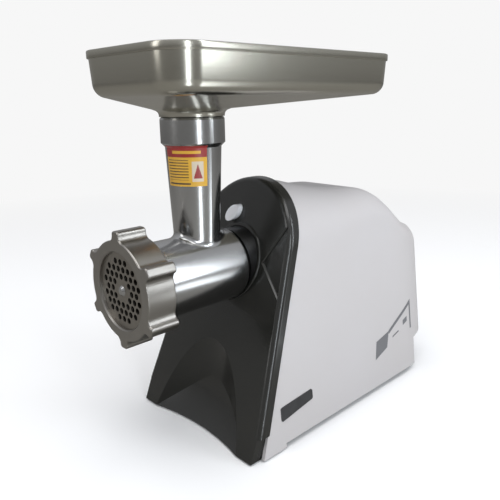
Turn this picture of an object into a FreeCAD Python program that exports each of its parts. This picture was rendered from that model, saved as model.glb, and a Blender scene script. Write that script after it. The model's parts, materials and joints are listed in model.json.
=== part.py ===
import FreeCAD, Part
import math
import os
from FreeCAD import Vector

# Electric meat grinder, in millimetres. +Z is up and the head points along -Y.
# Everything is laid out about the feed tube, whose axis is X = 0, Y = 0. When a node is written it
# is moved along Y so that the origin is the bottom centre of the whole grinder.

# ---- overall sizes ---------------------------------------------------------------------------
AXIS_Z = 139.0            # height of the auger axis
REAR_Y = 258.0            # back of the housing, behind the feed tube
BASE_HALF_WIDTH = 76.1    # half width of the fascia's sides carried down to the table
SIDE_LEAN = 0.123         # how far the sides lean in, per unit of height
ARCH_Z = 149.0            # height of the arch's centre
FACE_LEAN = 0.37          # how far the front leans back, per unit of height
FACE_Y = -14.0            # front of the fascia at table height
FACE_DEPTH = 11.0         # fascia depth along Y, front face to seam

# ---- fits ------------------------------------------------------------------------------------
RUN = 0.05                # radial clearance of a running fit
GAP = 0.3                 # clearance between pieces that move past each other
SEAT = 0.05               # gap where one piece rests on another

# ---- casing ----------------------------------------------------------------------------------
WALL = 3.0                # plastic wall
FASCIA_PROUD = 1.5        # how far the fascia's edge stands outside the housing
FASCIA_ROUND = 5.0        # rounding of the fascia's front edge
FOOT_HEIGHT = 20.0        # height of the narrower foot part of the fascia
FOOT_INSET = 3.0          # how far that foot part is set in
PLASTIC_LOW = 1.5         # height of the plastic above the table
RECESS_RADIUS = 66.4      # upright round recess under the head, for a bowl
RECESS_Y = 13.75          # back of that recess on the centre line
SKIRT_Y = -8.0            # front of the recess's skirt at table height
SKIRT_PLAN_RADIUS = 203.0 # plan radius of the skirt's front edge
SKIRT_HEIGHT = 46.0
SKIRT_DEPTH = 22.0
WING_DEPTH = 1.6          # triangular pockets each side of the head
WING_BEVEL = 0.9          # bevel round the mouth of each pocket
HEEL_SETBACK = 38.0       # the lower part's rear wall stands this far in from the back
HEEL_Z = 32.0             # height where the rear wall steps out to the back
HEEL_LEAN = 0.045         # how far the heel leans back, per unit of height
BEAD_WIDTH = 2.5          # raised bead of the fascia around the head
BEAD_HEIGHT = 1.5

# ---- head ------------------------------------------------------------------------------------
BARREL_RADIUS = 29.7
BARREL_BORE = 25.5
BARREL_REAR_Y = 29.0
SPIGOT_RADIUS = 24.0
SPIGOT_LENGTH = 23.0
TUBE_TOP_RADIUS = 21.2
TUBE_LOW_RADIUS = 18.3
TUBE_LOW_Z = 174.0
TUBE_WALL = 2.8
COLLAR_RADIUS = 24.2
COLLAR_LOW_Z = 239.5
COLLAR_TOP_Z = 258.3
THROAT_SEAT_Z = 243.0     # shoulder inside the collar that the tray's neck stops above
TWIST_ANGLE = 40.0        # how far the head turns to come out of its socket

# ---- ring nut, plate and blade ---------------------------------------------------------------
RING_FRONT_Y = -72.6
RING_DEPTH = 23.6
RING_WALL = 4.3           # wall of the ring outside the thread
RING_LUG_REACH = 6.8      # how far the lugs stand out of the ring
RING_LUG_WIDTH = 8.4
RING_LUG_ROOT = 5.0       # hollow rounding where a lug meets the ring
RING_EDGE_ROUND = 1.2
RING_APERTURE_RADIUS = 28.6
RING_LIP = 2.8
LUG_COUNT = 6
THREAD_PROUD = 3.2        # the thread's crest stands this far outside the barrel
THREAD_DEPTH = 0.8
THREAD_PITCH = 4.0
PLATE_RADIUS = 31.0       # a number 8 plate, 62 mm across
PLATE_THICKNESS = 6.0
PLATE_HOLE_RADIUS = 2.25
PLATE_HOLE_PITCH = 6.18
PLATE_HOLES_INSIDE = 8.2  # hole centres lie between these two radii
PLATE_HOLES_OUTSIDE = 22.4
STUB_RADIUS = 4.0
BLADE_THICKNESS = 5.0
BLADE_RADIUS = 24.6

# ---- auger -----------------------------------------------------------------------------------
FLIGHT_RADIUS = 24.9
FLIGHT_PITCH = 24.0
FLIGHT_THICKNESS = 4.0
CORE_RADIUS = 10.0
TAIL_RADIUS = 8.0
TAIL_SQUARE = 10.0        # side of the square drive on the tail

# ---- hopper tray -----------------------------------------------------------------------------
TRAY_TOP_Z = 305.0
TRAY_HALF_WIDTH = 60.0
TRAY_FRONT_Y = -60.0
TRAY_LENGTH = 242.0
TRAY_CORNER = 26.0
TRAY_SHEET = 1.0
TRAY_NECK_RADIUS = 20.8

# ---- gearbox and motor -----------------------------------------------------------------------
PRESSURE_ANGLE = 25.0
BACKLASH = 0.10           # taken off each tooth's thickness
FIRST_MODULE, FIRST_PINION, FIRST_GEAR = 0.8, 12, 60
SECOND_MODULE, SECOND_PINION, SECOND_GEAR = 1.0, 13, 52
THIRD_MODULE, THIRD_PINION, OUTPUT_GEAR = 1.5, 14, 49
SECOND_SHAFT_X = -18.0    # the slow layshaft stands this far to one side
FIRST_SHAFT_X = 14.0      # the fast layshaft stands this far to the other side
CASE_FRONT_Y = 72.0
CASE_DEPTH = 44.0
CASE_WALL = 3.0
CASE_HALF_WIDTH = 49.5
CASE_LOW_Z = 44.0
LAYSHAFT_RADIUS = 4.0
OUTPUT_SHAFT_RADIUS = 12.0
MOTOR_LENGTH = 92.0       # gearbox cover to rear motor bracket
FIELD_RADIUS = 38.0
FIELD_BORE = 22.5
COIL_THICKNESS = 6.0      # field windings, inside the field core's yoke
CORE_GAP = 0.5            # air gap between armature and field
ARMATURE_LENGTH = 34.0
MOTOR_SHAFT_RADIUS = 4.0

# ---- controls --------------------------------------------------------------------------------
BUTTON_X, BUTTON_Z = -11.0, 177.0
BUTTON_LONG, BUTTON_SHORT = 8.0, 5.5
BUTTON_TURN = 45.0
BUTTON_PROUD = 5.0
LOCK_PIN_RADIUS = 1.4
PANEL_Y, PANEL_LENGTH = 124.0, 80.0
PANEL_Z, PANEL_HEIGHT = 38.0, 34.0
PANEL_X = -65.5           # outer face of the switch panel
ROCKER_TILT = 8.0
RESET_TRAVEL = 2.0
RESET_RADIUS = 4.5
FOOT_PAD_RADIUS = 8.0

# ---- worked out from the sizes above ---------------------------------------------------------
ORIGIN_SHIFT = -(RING_FRONT_Y + REAR_Y) / 2
SIDE_ANGLE = math.atan(SIDE_LEAN)
FIRST_CENTRES = FIRST_MODULE * (FIRST_PINION + FIRST_GEAR) / 2
SECOND_CENTRES = SECOND_MODULE * (SECOND_PINION + SECOND_GEAR) / 2
THIRD_CENTRES = THIRD_MODULE * (THIRD_PINION + OUTPUT_GEAR) / 2


def drop(centres, across):
    """Height difference of two shafts that are `centres` apart and `across` apart in X."""
    return math.sqrt(centres ** 2 - across ** 2)


SECOND_SHAFT_Z = AXIS_Z - drop(THIRD_CENTRES, SECOND_SHAFT_X)
FIRST_SHAFT_Z = SECOND_SHAFT_Z - drop(SECOND_CENTRES, FIRST_SHAFT_X - SECOND_SHAFT_X)
MOTOR_Z = FIRST_SHAFT_Z - drop(FIRST_CENTRES, FIRST_SHAFT_X)

SEAM_Y = FACE_Y + FACE_DEPTH
PLATE_FRONT_Y = RING_FRONT_Y + RING_LIP
PLATE_REAR_Y = PLATE_FRONT_Y + PLATE_THICKNESS
HEAD_FRONT_Y = PLATE_FRONT_Y + PLATE_THICKNESS / 2
RING_REAR_Y = RING_FRONT_Y + RING_DEPTH
THREAD_REAR_Y = RING_REAR_Y - 1.5
BLADE_REAR_Y = PLATE_REAR_Y + BLADE_THICKNESS
SPIGOT_REAR_Y = BARREL_REAR_Y + SPIGOT_LENGTH
SOCKET_RADIUS = SPIGOT_RADIUS + 4.2
THREAD_RADIUS = BARREL_RADIUS + THREAD_PROUD
RING_BODY_RADIUS = THREAD_RADIUS + RING_WALL
RING_LUG_RADIUS = RING_BODY_RADIUS + RING_LUG_REACH
SOCKET_FRONT_Y = BARREL_REAR_Y + 2.0
PIN_ORBIT = (SPIGOT_RADIUS + SOCKET_RADIUS) / 2
CASE_REAR_Y = CASE_FRONT_Y + CASE_DEPTH
COVER_THICKNESS = 4.0
COVER_REAR_Y = CASE_REAR_Y + COVER_THICKNESS
MOTOR_REAR_Y = COVER_REAR_Y + MOTOR_LENGTH
OUTPUT_GEAR_Y, OUTPUT_GEAR_WIDTH = CASE_FRONT_Y + CASE_WALL + 3.0, 12.0
SECOND_GEAR_Y, SECOND_GEAR_WIDTH = OUTPUT_GEAR_Y + OUTPUT_GEAR_WIDTH + 3.0, 8.0
FIRST_GEAR_Y, FIRST_GEAR_WIDTH = SECOND_GEAR_Y + SECOND_GEAR_WIDTH + 3.0, 7.0
TRAY_REAR_Y = TRAY_FRONT_Y + TRAY_LENGTH
BASE_TOP_Z = PLASTIC_LOW + 9.0


# ---- plain shapes ----------------------------------------------------------------------------
def rod_y(radius, start, end, x=0.0, z=AXIS_Z):
    return Part.makeCylinder(radius, end - start, Vector(x, start, z), Vector(0, 1, 0))


def tube_y(outer, inner, start, end, x=0.0, z=AXIS_Z):
    return rod_y(outer, start, end, x, z).cut(rod_y(inner, start - 1, end + 1, x, z))


def rod_z(radius, low, high, x=0.0, y=0.0):
    return Part.makeCylinder(radius, high - low, Vector(x, y, low))


def rod_x(radius, start, end, y, z):
    return Part.makeCylinder(radius, end - start, Vector(start, y, z), Vector(1, 0, 0))


def cone_y(radius_start, radius_end, start, end, x=0.0, z=AXIS_Z):
    return Part.makeCone(radius_start, radius_end, end - start, Vector(x, start, z), Vector(0, 1, 0))


def block(x_low, x_high, y_low, y_high, z_low, z_high):
    size = (x_high - x_low, y_high - y_low, z_high - z_low)
    return Part.makeBox(size[0], size[1], size[2], Vector(x_low, y_low, z_low))


def polygon(points):
    return Part.Face(Part.makePolygon([Vector(*p) for p in points + points[:1]]))


def union(shapes):
    joined = shapes[0].fuse(shapes[1:]) if len(shapes) > 1 else shapes[0]
    return joined.removeSplitter()


def group(shapes):
    return Part.Compound(shapes)


def mirror_x(shape):
    return shape.mirror(Vector(0, 0, 0), Vector(1, 0, 0))


def turned_y(shape, degrees, x=0.0, z=AXIS_Z):
    copy = shape.copy()
    copy.rotate(Vector(x, 0, z), Vector(0, 1, 0), degrees)
    return copy


def revolved_z(points, x=0.0, y=0.0):
    """Solid of revolution about an upright axis; points are (radius, height)."""
    face = polygon([(radius, 0, height) for radius, height in points])
    solid = face.revolve(Vector(0, 0, 0), Vector(0, 0, 1), 360)
    solid.translate(Vector(x, y, 0))
    return solid


def screw_y(head_radius, head_depth, shank_radius, length, x, y, z):
    """Pan head with a cross recess, head at y and shank along +Y."""
    body = union([rod_y(head_radius, y - head_depth, y, x, z), rod_y(shank_radius, y, y + length, x, z)])
    slot = head_radius * 0.55
    for half_x, half_z in ((slot, slot / 4), (slot / 4, slot)):
        body = body.cut(block(x - half_x, x + half_x, y - head_depth - 1, y - head_depth / 2,
                              z - half_z, z + half_z))
    return body


def screw_up(head_radius, head_depth, shank_radius, length, x, y, z):
    """Pan head with a cross recess, head below z and shank upwards."""
    body = union([rod_z(head_radius, z - head_depth, z, x, y), rod_z(shank_radius, z, z + length, x, y)])
    slot = head_radius * 0.55
    for half_x, half_y in ((slot, slot / 4), (slot / 4, slot)):
        body = body.cut(block(x - half_x, x + half_x, y - half_y, y + half_y,
                              z - head_depth - 1, z - head_depth / 2))
    return body


# ---- casing outlines -------------------------------------------------------------------------
def side_at(z, inset=0.0):
    """Half width of the fascia's straight side at height z."""
    return BASE_HALF_WIDTH - inset / math.cos(SIDE_ANGLE) - SIDE_LEAN * z


def arch_radius(inset=0.0):
    return (BASE_HALF_WIDTH - SIDE_LEAN * ARCH_Z) * math.cos(SIDE_ANGLE) - inset


def arch_solid(inset, y_low, y_high, z_low):
    """Leaning sides that run tangent into a round top, extruded along Y."""
    radius = arch_radius(inset)
    tangent = Vector(radius * math.cos(SIDE_ANGLE), y_low, ARCH_Z + radius * math.sin(SIDE_ANGLE))
    low = Vector(side_at(z_low, inset), y_low, z_low)
    top = Vector(0, y_low, ARCH_Z + radius)
    left_tangent, left_low = Vector(-tangent.x, y_low, tangent.z), Vector(-low.x, y_low, z_low)
    edges = [Part.LineSegment(left_low, low), Part.LineSegment(low, tangent),
             Part.Arc(tangent, top, left_tangent), Part.LineSegment(left_tangent, left_low)]
    wire = Part.Wire([edge.toShape() for edge in edges])
    return Part.Face(wire).extrude(Vector(0, y_high - y_low, 0))


def leaning_slab(y_front, y_back, z_low=-20.0, z_high=330.0, half_width=150.0):
    """Everything between two planes that lean back like the fascia."""
    corners = [(y_front, z_low), (y_back, z_low), (y_back, z_high), (y_front, z_high)]
    face = polygon([(-half_width, y + FACE_LEAN * z, z) for y, z in corners])
    return face.extrude(Vector(2 * half_width, 0, 0))


def bowl_recess(offset=0.0):
    """Upright round recess whose foot flares forward into a skirt."""
    radius = RECESS_RADIUS + offset
    upright = rod_z(radius, -20, AXIS_Z, 0, RECESS_Y - RECESS_RADIUS)
    flare = (SKIRT_DEPTH ** 2 + SKIRT_HEIGHT ** 2) / (2 * SKIRT_DEPTH)
    reach = SKIRT_PLAN_RADIUS + offset
    centre = Vector(reach + SKIRT_DEPTH - flare, 0, SKIRT_HEIGHT)
    middle_angle = math.asin(SKIRT_HEIGHT / flare) / 2
    middle = centre + Vector(flare * math.cos(middle_angle), 0, -flare * math.sin(middle_angle))
    foot, knee = Vector(reach, 0, 0), Vector(reach + SKIRT_DEPTH, 0, SKIRT_HEIGHT)
    top = Vector(reach + SKIRT_DEPTH, 0, AXIS_Z + 5)
    below = Vector(reach, 0, -25)
    edges = [Part.LineSegment(Vector(0, 0, -25), below), Part.LineSegment(below, foot),
             Part.Arc(foot, middle, knee), Part.LineSegment(knee, top),
             Part.LineSegment(top, Vector(0, 0, AXIS_Z + 5)),
             Part.LineSegment(Vector(0, 0, AXIS_Z + 5), Vector(0, 0, -25))]
    face = Part.Face(Part.Wire([edge.toShape() for edge in edges]))
    flared = face.revolve(Vector(0, 0, 0), Vector(0, 0, 1), 360)
    flared.translate(Vector(0, SKIRT_Y - SKIRT_PLAN_RADIUS, 0))
    return upright.common(flared)


def wing_pocket():
    """Triangular pocket beside the head, on the +X side, with a bevelled mouth."""
    outline = [(33, 143), (50, 173), (side_at(157) - 4.5, 157), (side_at(122) - 5, 122)]

    def ring(depth):
        return Part.makePolygon([Vector(x, FACE_Y + depth + FACE_LEAN * z, z)
                                 for x, z in outline + outline[:1]])

    mouth = ring(0).makeOffset2D(WING_BEVEL, 2)
    bevel = Part.makeLoft([mouth, ring(WING_BEVEL)], True, True)
    deep = Part.Face(ring(0)).extrude(Vector(0, WING_DEPTH, 0))
    above = Part.Face(mouth).extrude(Vector(0, -2, 0))
    return deep.fuse([bevel, above])


# Housing: (share of the way back, drop of the top, corner radius, share of the width).
HOUSING_TOP = 205.0
HOUSING_STATIONS = [
    (-0.45, 0, 53, 1.0), (-0.2, 0, 53, 1.0), (0.01, 0.5, 52, 1.0), (0.1, 5, 46, 1.0),
    (0.2, 9.5, 40, 1.0), (0.32, 13, 34, 1.0), (0.44, 15, 29, 1.0), (0.54, 18.5, 27, 1.0),
    (0.62, 26, 26, 1.0), (0.7, 38, 25, 1.0), (0.78, 50, 24, 0.985), (0.86, 58, 23, 0.945),
    (0.93, 61, 22, 0.86), (0.99, 63, 20, 0.7), (1.02, 63, 18, 0.52)]


def housing_section(y, top, corner, width, inset):
    """Upright section across the housing: leaning sides, round shoulders and a flat crown."""
    base = (BASE_HALF_WIDTH - FASCIA_PROUD) * width - inset / math.cos(SIDE_ANGLE)
    low, crown, radius = -10.0, top - inset, corner - inset
    centre_z = crown - radius
    centre_x = base - SIDE_LEAN * centre_z - radius / math.cos(SIDE_ANGLE)
    shoulder = [Vector(centre_x + radius * math.cos(angle), y, centre_z + radius * math.sin(angle))
                for angle in (SIDE_ANGLE, (SIDE_ANGLE + math.pi / 2) / 2, math.pi / 2)]
    left = [Vector(-point.x, y, point.z) for point in reversed(shoulder)]
    right_low, left_low = Vector(base - SIDE_LEAN * low, y, low), Vector(SIDE_LEAN * low - base, y, low)
    edges = [Part.LineSegment(left_low, right_low), Part.LineSegment(right_low, shoulder[0]),
             Part.Arc(*shoulder), Part.LineSegment(shoulder[2], left[0]),
             Part.Arc(*left), Part.LineSegment(left[2], left_low)]
    return Part.Wire([edge.toShape() for edge in edges])


def heel_at(z):
    """Outer face of the rear wall below the step, at height z."""
    return REAR_Y - HEEL_SETBACK - HEEL_LEAN * (HEEL_Z - z)


def housing_body(inset):
    """The housing's outer form, or the space inside it, behind the fascia's seam."""
    seam_top = SEAM_Y + FACE_LEAN * HOUSING_TOP
    sections = [housing_section(seam_top + share * (REAR_Y - seam_top), HOUSING_TOP - fall, corner,
                                width, inset)
                for share, fall, corner, width in HOUSING_STATIONS]
    loft = Part.makeLoft(sections, True, False)
    back = REAR_Y - inset
    overhang = [(-80, -12), (heel_at(-12) - inset, -12), (heel_at(HEEL_Z) - inset, HEEL_Z + inset),
                (back - 1, HEEL_Z + 3 + inset)]
    shoulder = [(back - 3, 97), (back - 13, 141 - inset), (back - 32, 150 - inset), (back - 32, 330),
                (-80, 330)]
    low, high = [[Vector(-150, y, z) for y, z in points] for points in (overhang, shoulder)]
    edges = [Part.LineSegment(a, b).toShape() for a, b in zip(low[:-1], low[1:])]
    edges.append(Part.Arc(low[-1], Vector(-150, back, 66), high[0]).toShape())
    edges += [Part.LineSegment(a, b).toShape() for a, b in zip(high, high[1:] + low[:1])]
    trim = Part.Face(Part.Wire(edges)).extrude(Vector(300, 0, 0))
    return loft.common(trim)


# ---- casing ----------------------------------------------------------------------------------
FASCIA_POSTS = [(side * x, z) for x, z in ((48, 42), (43, 152)) for side in (-1, 1)]
POST_REACH = 8.0
BASE_POSTS = [(side * 58.0, y) for y in (46.0, REAR_Y - 72) for side in (-1, 1)]
FOOT_PADS = [(side * 57.0, y) for y in (20.0, REAR_Y - 58) for side in (-1, 1)]
LEG_POSTS = [(side * 28.0, CASE_FRONT_Y + CASE_DEPTH / 2) for side in (-1, 1)]
BASE_LOW = PLASTIC_LOW + 4.0
BASE_HIGH = BASE_LOW + WALL
GLAND_X, GLAND_Z = -30.0, 18.0
GLAND_RADIUS, GLAND_FLANGE, GLAND_BORE = 6.0, 8.5, 3.6


def seam_at(z):
    return SEAM_Y + FACE_LEAN * z


def front_fascia():
    outer = arch_solid(0, -80, 140, PLASTIC_LOW).common(leaning_slab(FACE_Y, SEAM_Y))
    face_edges = [edge for edge in outer.Edges
                  if all(abs(vertex.Y - FACE_LEAN * vertex.Z - FACE_Y) < 0.01 for vertex in edge.Vertexes)
                  and max(vertex.Z for vertex in edge.Vertexes) > FOOT_HEIGHT]
    outer = outer.makeFillet(FASCIA_ROUND, face_edges)
    narrow = side_at(FOOT_HEIGHT) - FOOT_INSET
    for side in (-1, 1):
        x_low, x_high = sorted((side * narrow, side * 150))
        outer = outer.cut(block(x_low, x_high, -80, 60, -5, FOOT_HEIGHT))
    hollow = arch_solid(WALL, -80, 140, -5).common(leaning_slab(FACE_Y + WALL, SEAM_Y + 1))
    for side in (-1, 1):
        x_low, x_high = sorted((side * (narrow - WALL), side * 150))
        hollow = hollow.cut(block(x_low, x_high, -80, 60, -10, FOOT_HEIGHT + WALL))
    behind = leaning_slab(FACE_Y, 200)
    inside = arch_solid(WALL + FASCIA_PROUD + GAP, -80, 140, PLASTIC_LOW)
    bowl = bowl_recess(WALL).common(behind).common(inside)
    bead = rod_y(SOCKET_RADIUS + GAP + BEAD_WIDTH, -80, 140).common(
        leaning_slab(FACE_Y - BEAD_HEIGHT, FACE_Y + WALL))
    bead = bead.makeFillet(BEAD_HEIGHT * 0.7, [
        edge for edge in bead.Edges if edge.BoundBox.YMin < AXIS_Z * FACE_LEAN + FACE_Y - BEAD_HEIGHT
        and all(abs(v.Y - FACE_LEAN * v.Z - FACE_Y + BEAD_HEIGHT) < 0.01 for v in edge.Vertexes)])
    posts = [rod_y(4.0, -80, seam_at(z) + POST_REACH, x, z).common(behind) for x, z in FASCIA_POSTS]
    shell = outer.cut(hollow)
    shell = shell.fuse([bowl, bead] + posts)
    shell = shell.cut(bowl_recess())
    pocket = wing_pocket()
    shell = shell.cut([pocket, mirror_x(pocket), rod_y(SOCKET_RADIUS + GAP, -80, 120),
                       rod_y(BARREL_RADIUS + 2 * GAP, -80, BARREL_REAR_Y + 1)])
    shell = shell.cut(button_cap(0.4, -60, 100))
    pilots = [rod_y(1.3, seam_at(z) + POST_REACH - 12, seam_at(z) + POST_REACH + 1, x, z)
              for x, z in FASCIA_POSTS]
    return shell.cut(pilots)


def button_cap(clearance, start, end):
    """Oval prism of the lock button, turned in the plane of the front."""
    oval = Part.Ellipse(Vector(0, 0, 0), BUTTON_LONG + clearance, BUTTON_SHORT + clearance)
    prism = Part.Face(Part.Wire([oval.toShape()])).extrude(Vector(0, 0, end - start))
    prism.rotate(Vector(0, 0, 0), Vector(0, 0, 1), BUTTON_TURN)
    prism.rotate(Vector(0, 0, 0), Vector(1, 0, 0), 90)
    prism.translate(Vector(BUTTON_X, end, BUTTON_Z))
    return prism


def housing_shell():
    """The bare wall of the housing, before its openings are cut."""
    behind = leaning_slab(SEAM_Y, 500).common(block(-150, 150, -80, 400, PLASTIC_LOW, 330))
    return housing_body(0).common(behind).cut(housing_body(WALL))


def vent_opening(clearance):
    return block(-30 + clearance, 30 - clearance, REAR_Y - 20, REAR_Y + 5, 52 + clearance, 118 - clearance)


def panel_opening(clearance, x_inner=-55.0):
    return block(-150, x_inner, PANEL_Y + clearance, PANEL_Y + PANEL_LENGTH - clearance,
                 PANEL_Z + clearance, PANEL_Z + PANEL_HEIGHT - clearance)


def main_housing(wall_shell):
    """The wall with its feet, openings, screw posts and the tabs that the fascia screws to."""
    outer = housing_body(0)
    shell = wall_shell.cut(block(-150, 150, 23, REAR_Y, -20, PLASTIC_LOW + 3.5))
    tabs = []
    for x, z in FASCIA_POSTS:
        start = seam_at(z) + POST_REACH
        x_low, x_high = sorted((x - math.copysign(6, x), math.copysign(90, x)))
        tab = block(x_low, x_high, start, start + WALL, z - 6, z + 6).common(outer)
        tabs.append(tab.cut(rod_y(1.8, start - 1, start + WALL + 1, x, z)))
    for x, y in BASE_POSTS:
        x_low, x_high = sorted((x, math.copysign(90, x)))
        rib = block(x_low, x_high, y - 1.5, y + 1.5, BASE_HIGH, BASE_HIGH + 16)
        post = rod_z(4.5, BASE_HIGH, BASE_HIGH + 18, x, y).fuse(rib).common(outer)
        tabs.append(post.cut(rod_z(1.4, BASE_HIGH - 1, BASE_HIGH + 14, x, y)))
    shell = shell.fuse(tabs)
    heel = heel_at(GLAND_Z)
    openings = [vent_opening(0), panel_opening(0),
                rod_y(GLAND_RADIUS + 0.2, heel - 10, heel + 10, GLAND_X, GLAND_Z)]
    return shell.cut(openings)


def rear_vent(wall_shell):
    vent = wall_shell.common(vent_opening(0.15))
    slots = [block(-25, 25, REAR_Y - 30, REAR_Y + 10, z, z + 3) for z in range(58, 112, 7)]
    return vent.cut(slots)


def base_plate():
    """Flat floor of the grinder, with air slots under the motor."""
    inside = housing_body(WALL + GAP)
    flat = block(-150, 150, seam_at(BASE_LOW) + 10, REAR_Y, BASE_LOW, BASE_HIGH)
    plate = flat.common(inside)
    slots = [block(x - 1.5, x + 1.5, COVER_REAR_Y + 20, COVER_REAR_Y + 65, BASE_LOW - 1, BASE_HIGH + 1)
             for x in range(-30, 31, 6)]
    holes = [rod_z(2.0, BASE_LOW - 1, BASE_HIGH + 1, x, y) for x, y in BASE_POSTS + LEG_POSTS]
    holes += [rod_z(2.5, BASE_LOW - 1, BASE_HIGH + 1, x, y) for x, y in FOOT_PADS]
    return plate.cut(slots + holes)


def rubber_feet():
    feet = []
    for x, y in FOOT_PADS:
        pad = Part.makeCone(FOOT_PAD_RADIUS - 1, FOOT_PAD_RADIUS, BASE_LOW, Vector(x, y, 0))
        stem = rod_z(2.5, BASE_LOW - 1, BASE_HIGH, x, y)
        bulb = Part.makeCone(3.5, 2.0, 4, Vector(x, y, BASE_HIGH))
        feet.append(union([pad, stem, bulb]))
    return group(feet)


def base_screws():
    return group([screw_up(3.2, 2.0, 1.4, WALL + 13, x, y, BASE_LOW) for x, y in BASE_POSTS])


def fascia_screws():
    screws = []
    for x, z in FASCIA_POSTS:
        start = seam_at(z) + POST_REACH + WALL
        screw = screw_y(3.2, 2.0, 1.3, WALL + 9, x, 0, z)
        screw.rotate(Vector(x, 0, z), Vector(0, 0, 1), 180)
        screw.translate(Vector(0, start, 0))
        screws.append(screw)
    return group(screws)


def cord_gland(housing):
    """Bushing in the rear wall that a mains lead would enter through."""
    face = heel_at(GLAND_Z)
    body = union([rod_y(GLAND_RADIUS, face - 7, face + 4.5, GLAND_X, GLAND_Z),
                  rod_y(GLAND_FLANGE, face - 1, face + 4.5, GLAND_X, GLAND_Z),
                  rod_y(GLAND_FLANGE, face - 6.5, face - WALL + 0.5, GLAND_X, GLAND_Z)])
    body = body.cut(rod_y(GLAND_BORE, face - 10, face + 10, GLAND_X, GLAND_Z))
    return body.cut(housing)


# ---- head ------------------------------------------------------------------------------------
def tube_radius(z):
    """Outside radius of the tapered feed tube at height z."""
    slope = (TUBE_TOP_RADIUS - TUBE_LOW_RADIUS) / (COLLAR_LOW_Z - TUBE_LOW_Z)
    return TUBE_LOW_RADIUS + slope * (z - TUBE_LOW_Z)


def ridges_y(outer, inner, start, end):
    count = int((end - start) / THREAD_PITCH)
    width = THREAD_PITCH / 2
    return [tube_y(outer, inner, start + i * THREAD_PITCH, start + i * THREAD_PITCH + width)
            for i in range(count)]


def pin_place():
    """Where the lock pin runs, on the line from the auger axis to the button."""
    length = math.hypot(BUTTON_X, BUTTON_Z - AXIS_Z)
    return PIN_ORBIT * BUTTON_X / length, AXIS_Z + PIN_ORBIT * (BUTTON_Z - AXIS_Z) / length


def grinder_head():
    step = COLLAR_RADIUS - TUBE_TOP_RADIUS
    tube = revolved_z([(0, AXIS_Z), (tube_radius(AXIS_Z), AXIS_Z),
                       (TUBE_TOP_RADIUS, COLLAR_LOW_Z - step), (COLLAR_RADIUS, COLLAR_LOW_Z),
                       (COLLAR_RADIUS, COLLAR_TOP_Z - 2), (COLLAR_RADIUS - 0.6, COLLAR_TOP_Z - 0.6),
                       (COLLAR_RADIUS - 2, COLLAR_TOP_Z), (0, COLLAR_TOP_Z)])
    barrel = rod_y(BARREL_RADIUS, THREAD_REAR_Y - 1, BARREL_REAR_Y)
    barrel = barrel.makeFillet(2.5, [edge for edge in barrel.Edges
                                     if abs(edge.BoundBox.YMin - BARREL_REAR_Y) < 0.01])
    body = barrel.fuse(tube).removeSplitter()
    saddle = [edge for edge in body.Edges
              if len(edge.Vertexes) <= 2 and edge.BoundBox.ZMin > AXIS_Z + 5
              and edge.BoundBox.ZMax < AXIS_Z + BARREL_RADIUS + 1 and edge.BoundBox.YLength > 10]
    body = body.makeFillet(5.0, saddle)
    root = THREAD_RADIUS - THREAD_DEPTH
    front = rod_y(root, HEAD_FRONT_Y, THREAD_REAR_Y)
    neck = cone_y(root, BARREL_RADIUS, THREAD_REAR_Y, THREAD_REAR_Y + 2)
    spigot = rod_y(SPIGOT_RADIUS, BARREL_REAR_Y - 1, SPIGOT_REAR_Y)
    spigot = spigot.makeChamfer(1.5, [edge for edge in spigot.Edges
                                      if abs(edge.BoundBox.YMin - SPIGOT_REAR_Y) < 0.01])
    body = body.fuse([front, neck, spigot] + ridges_y(THREAD_RADIUS, root - 0.5, HEAD_FRONT_Y + 1,
                                                      THREAD_REAR_Y))
    tube_bore = revolved_z([(0, AXIS_Z), (tube_radius(AXIS_Z) - TUBE_WALL, AXIS_Z),
                            (tube_radius(THROAT_SEAT_Z) - TUBE_WALL, THROAT_SEAT_Z),
                            (TRAY_NECK_RADIUS + 0.15, THROAT_SEAT_Z),
                            (TRAY_NECK_RADIUS + 0.15, COLLAR_TOP_Z + 1), (0, COLLAR_TOP_Z + 1)])
    bores = [rod_y(PLATE_RADIUS + 0.1, HEAD_FRONT_Y - 1, PLATE_REAR_Y + SEAT),
             rod_y(BARREL_BORE, PLATE_REAR_Y, BARREL_REAR_Y - 5),
             rod_y(TAIL_RADIUS + 3, BARREL_REAR_Y - 6, SPIGOT_REAR_Y + 1), tube_bore]
    body = body.cut(bores)
    x, z = pin_place()
    sweep = tube_y(PIN_ORBIT + LOCK_PIN_RADIUS + 0.4, PIN_ORBIT - LOCK_PIN_RADIUS - 0.4,
                   BARREL_REAR_Y - 3, BARREL_REAR_Y + 1)
    pin_angle = math.degrees(math.atan2(x, z - AXIS_Z))
    wedge = Part.makeCylinder(60, 10, Vector(0, 0, 0), Vector(0, 0, 1), TWIST_ANGLE + 12)
    wedge.rotate(Vector(0, 0, 0), Vector(1, 0, 0), 90)
    wedge.translate(Vector(0, BARREL_REAR_Y + 3, AXIS_Z))
    # The slot reaches from just past the pin at rest to where the pin lies once the head has turned.
    wedge = turned_y(wedge, pin_angle + 6 - 90)
    body = body.cut(sweep.common(wedge))
    return body.cut(plate_key())


def plate_key():
    return rod_y(0.9, HEAD_FRONT_Y + 0.2, PLATE_REAR_Y + 4, 0, AXIS_Z - PLATE_RADIUS - 0.1)


def auger_bush():
    return tube_y(TAIL_RADIUS + 3, TAIL_RADIUS + RUN, BARREL_REAR_Y - 4, SPIGOT_REAR_Y)


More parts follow.
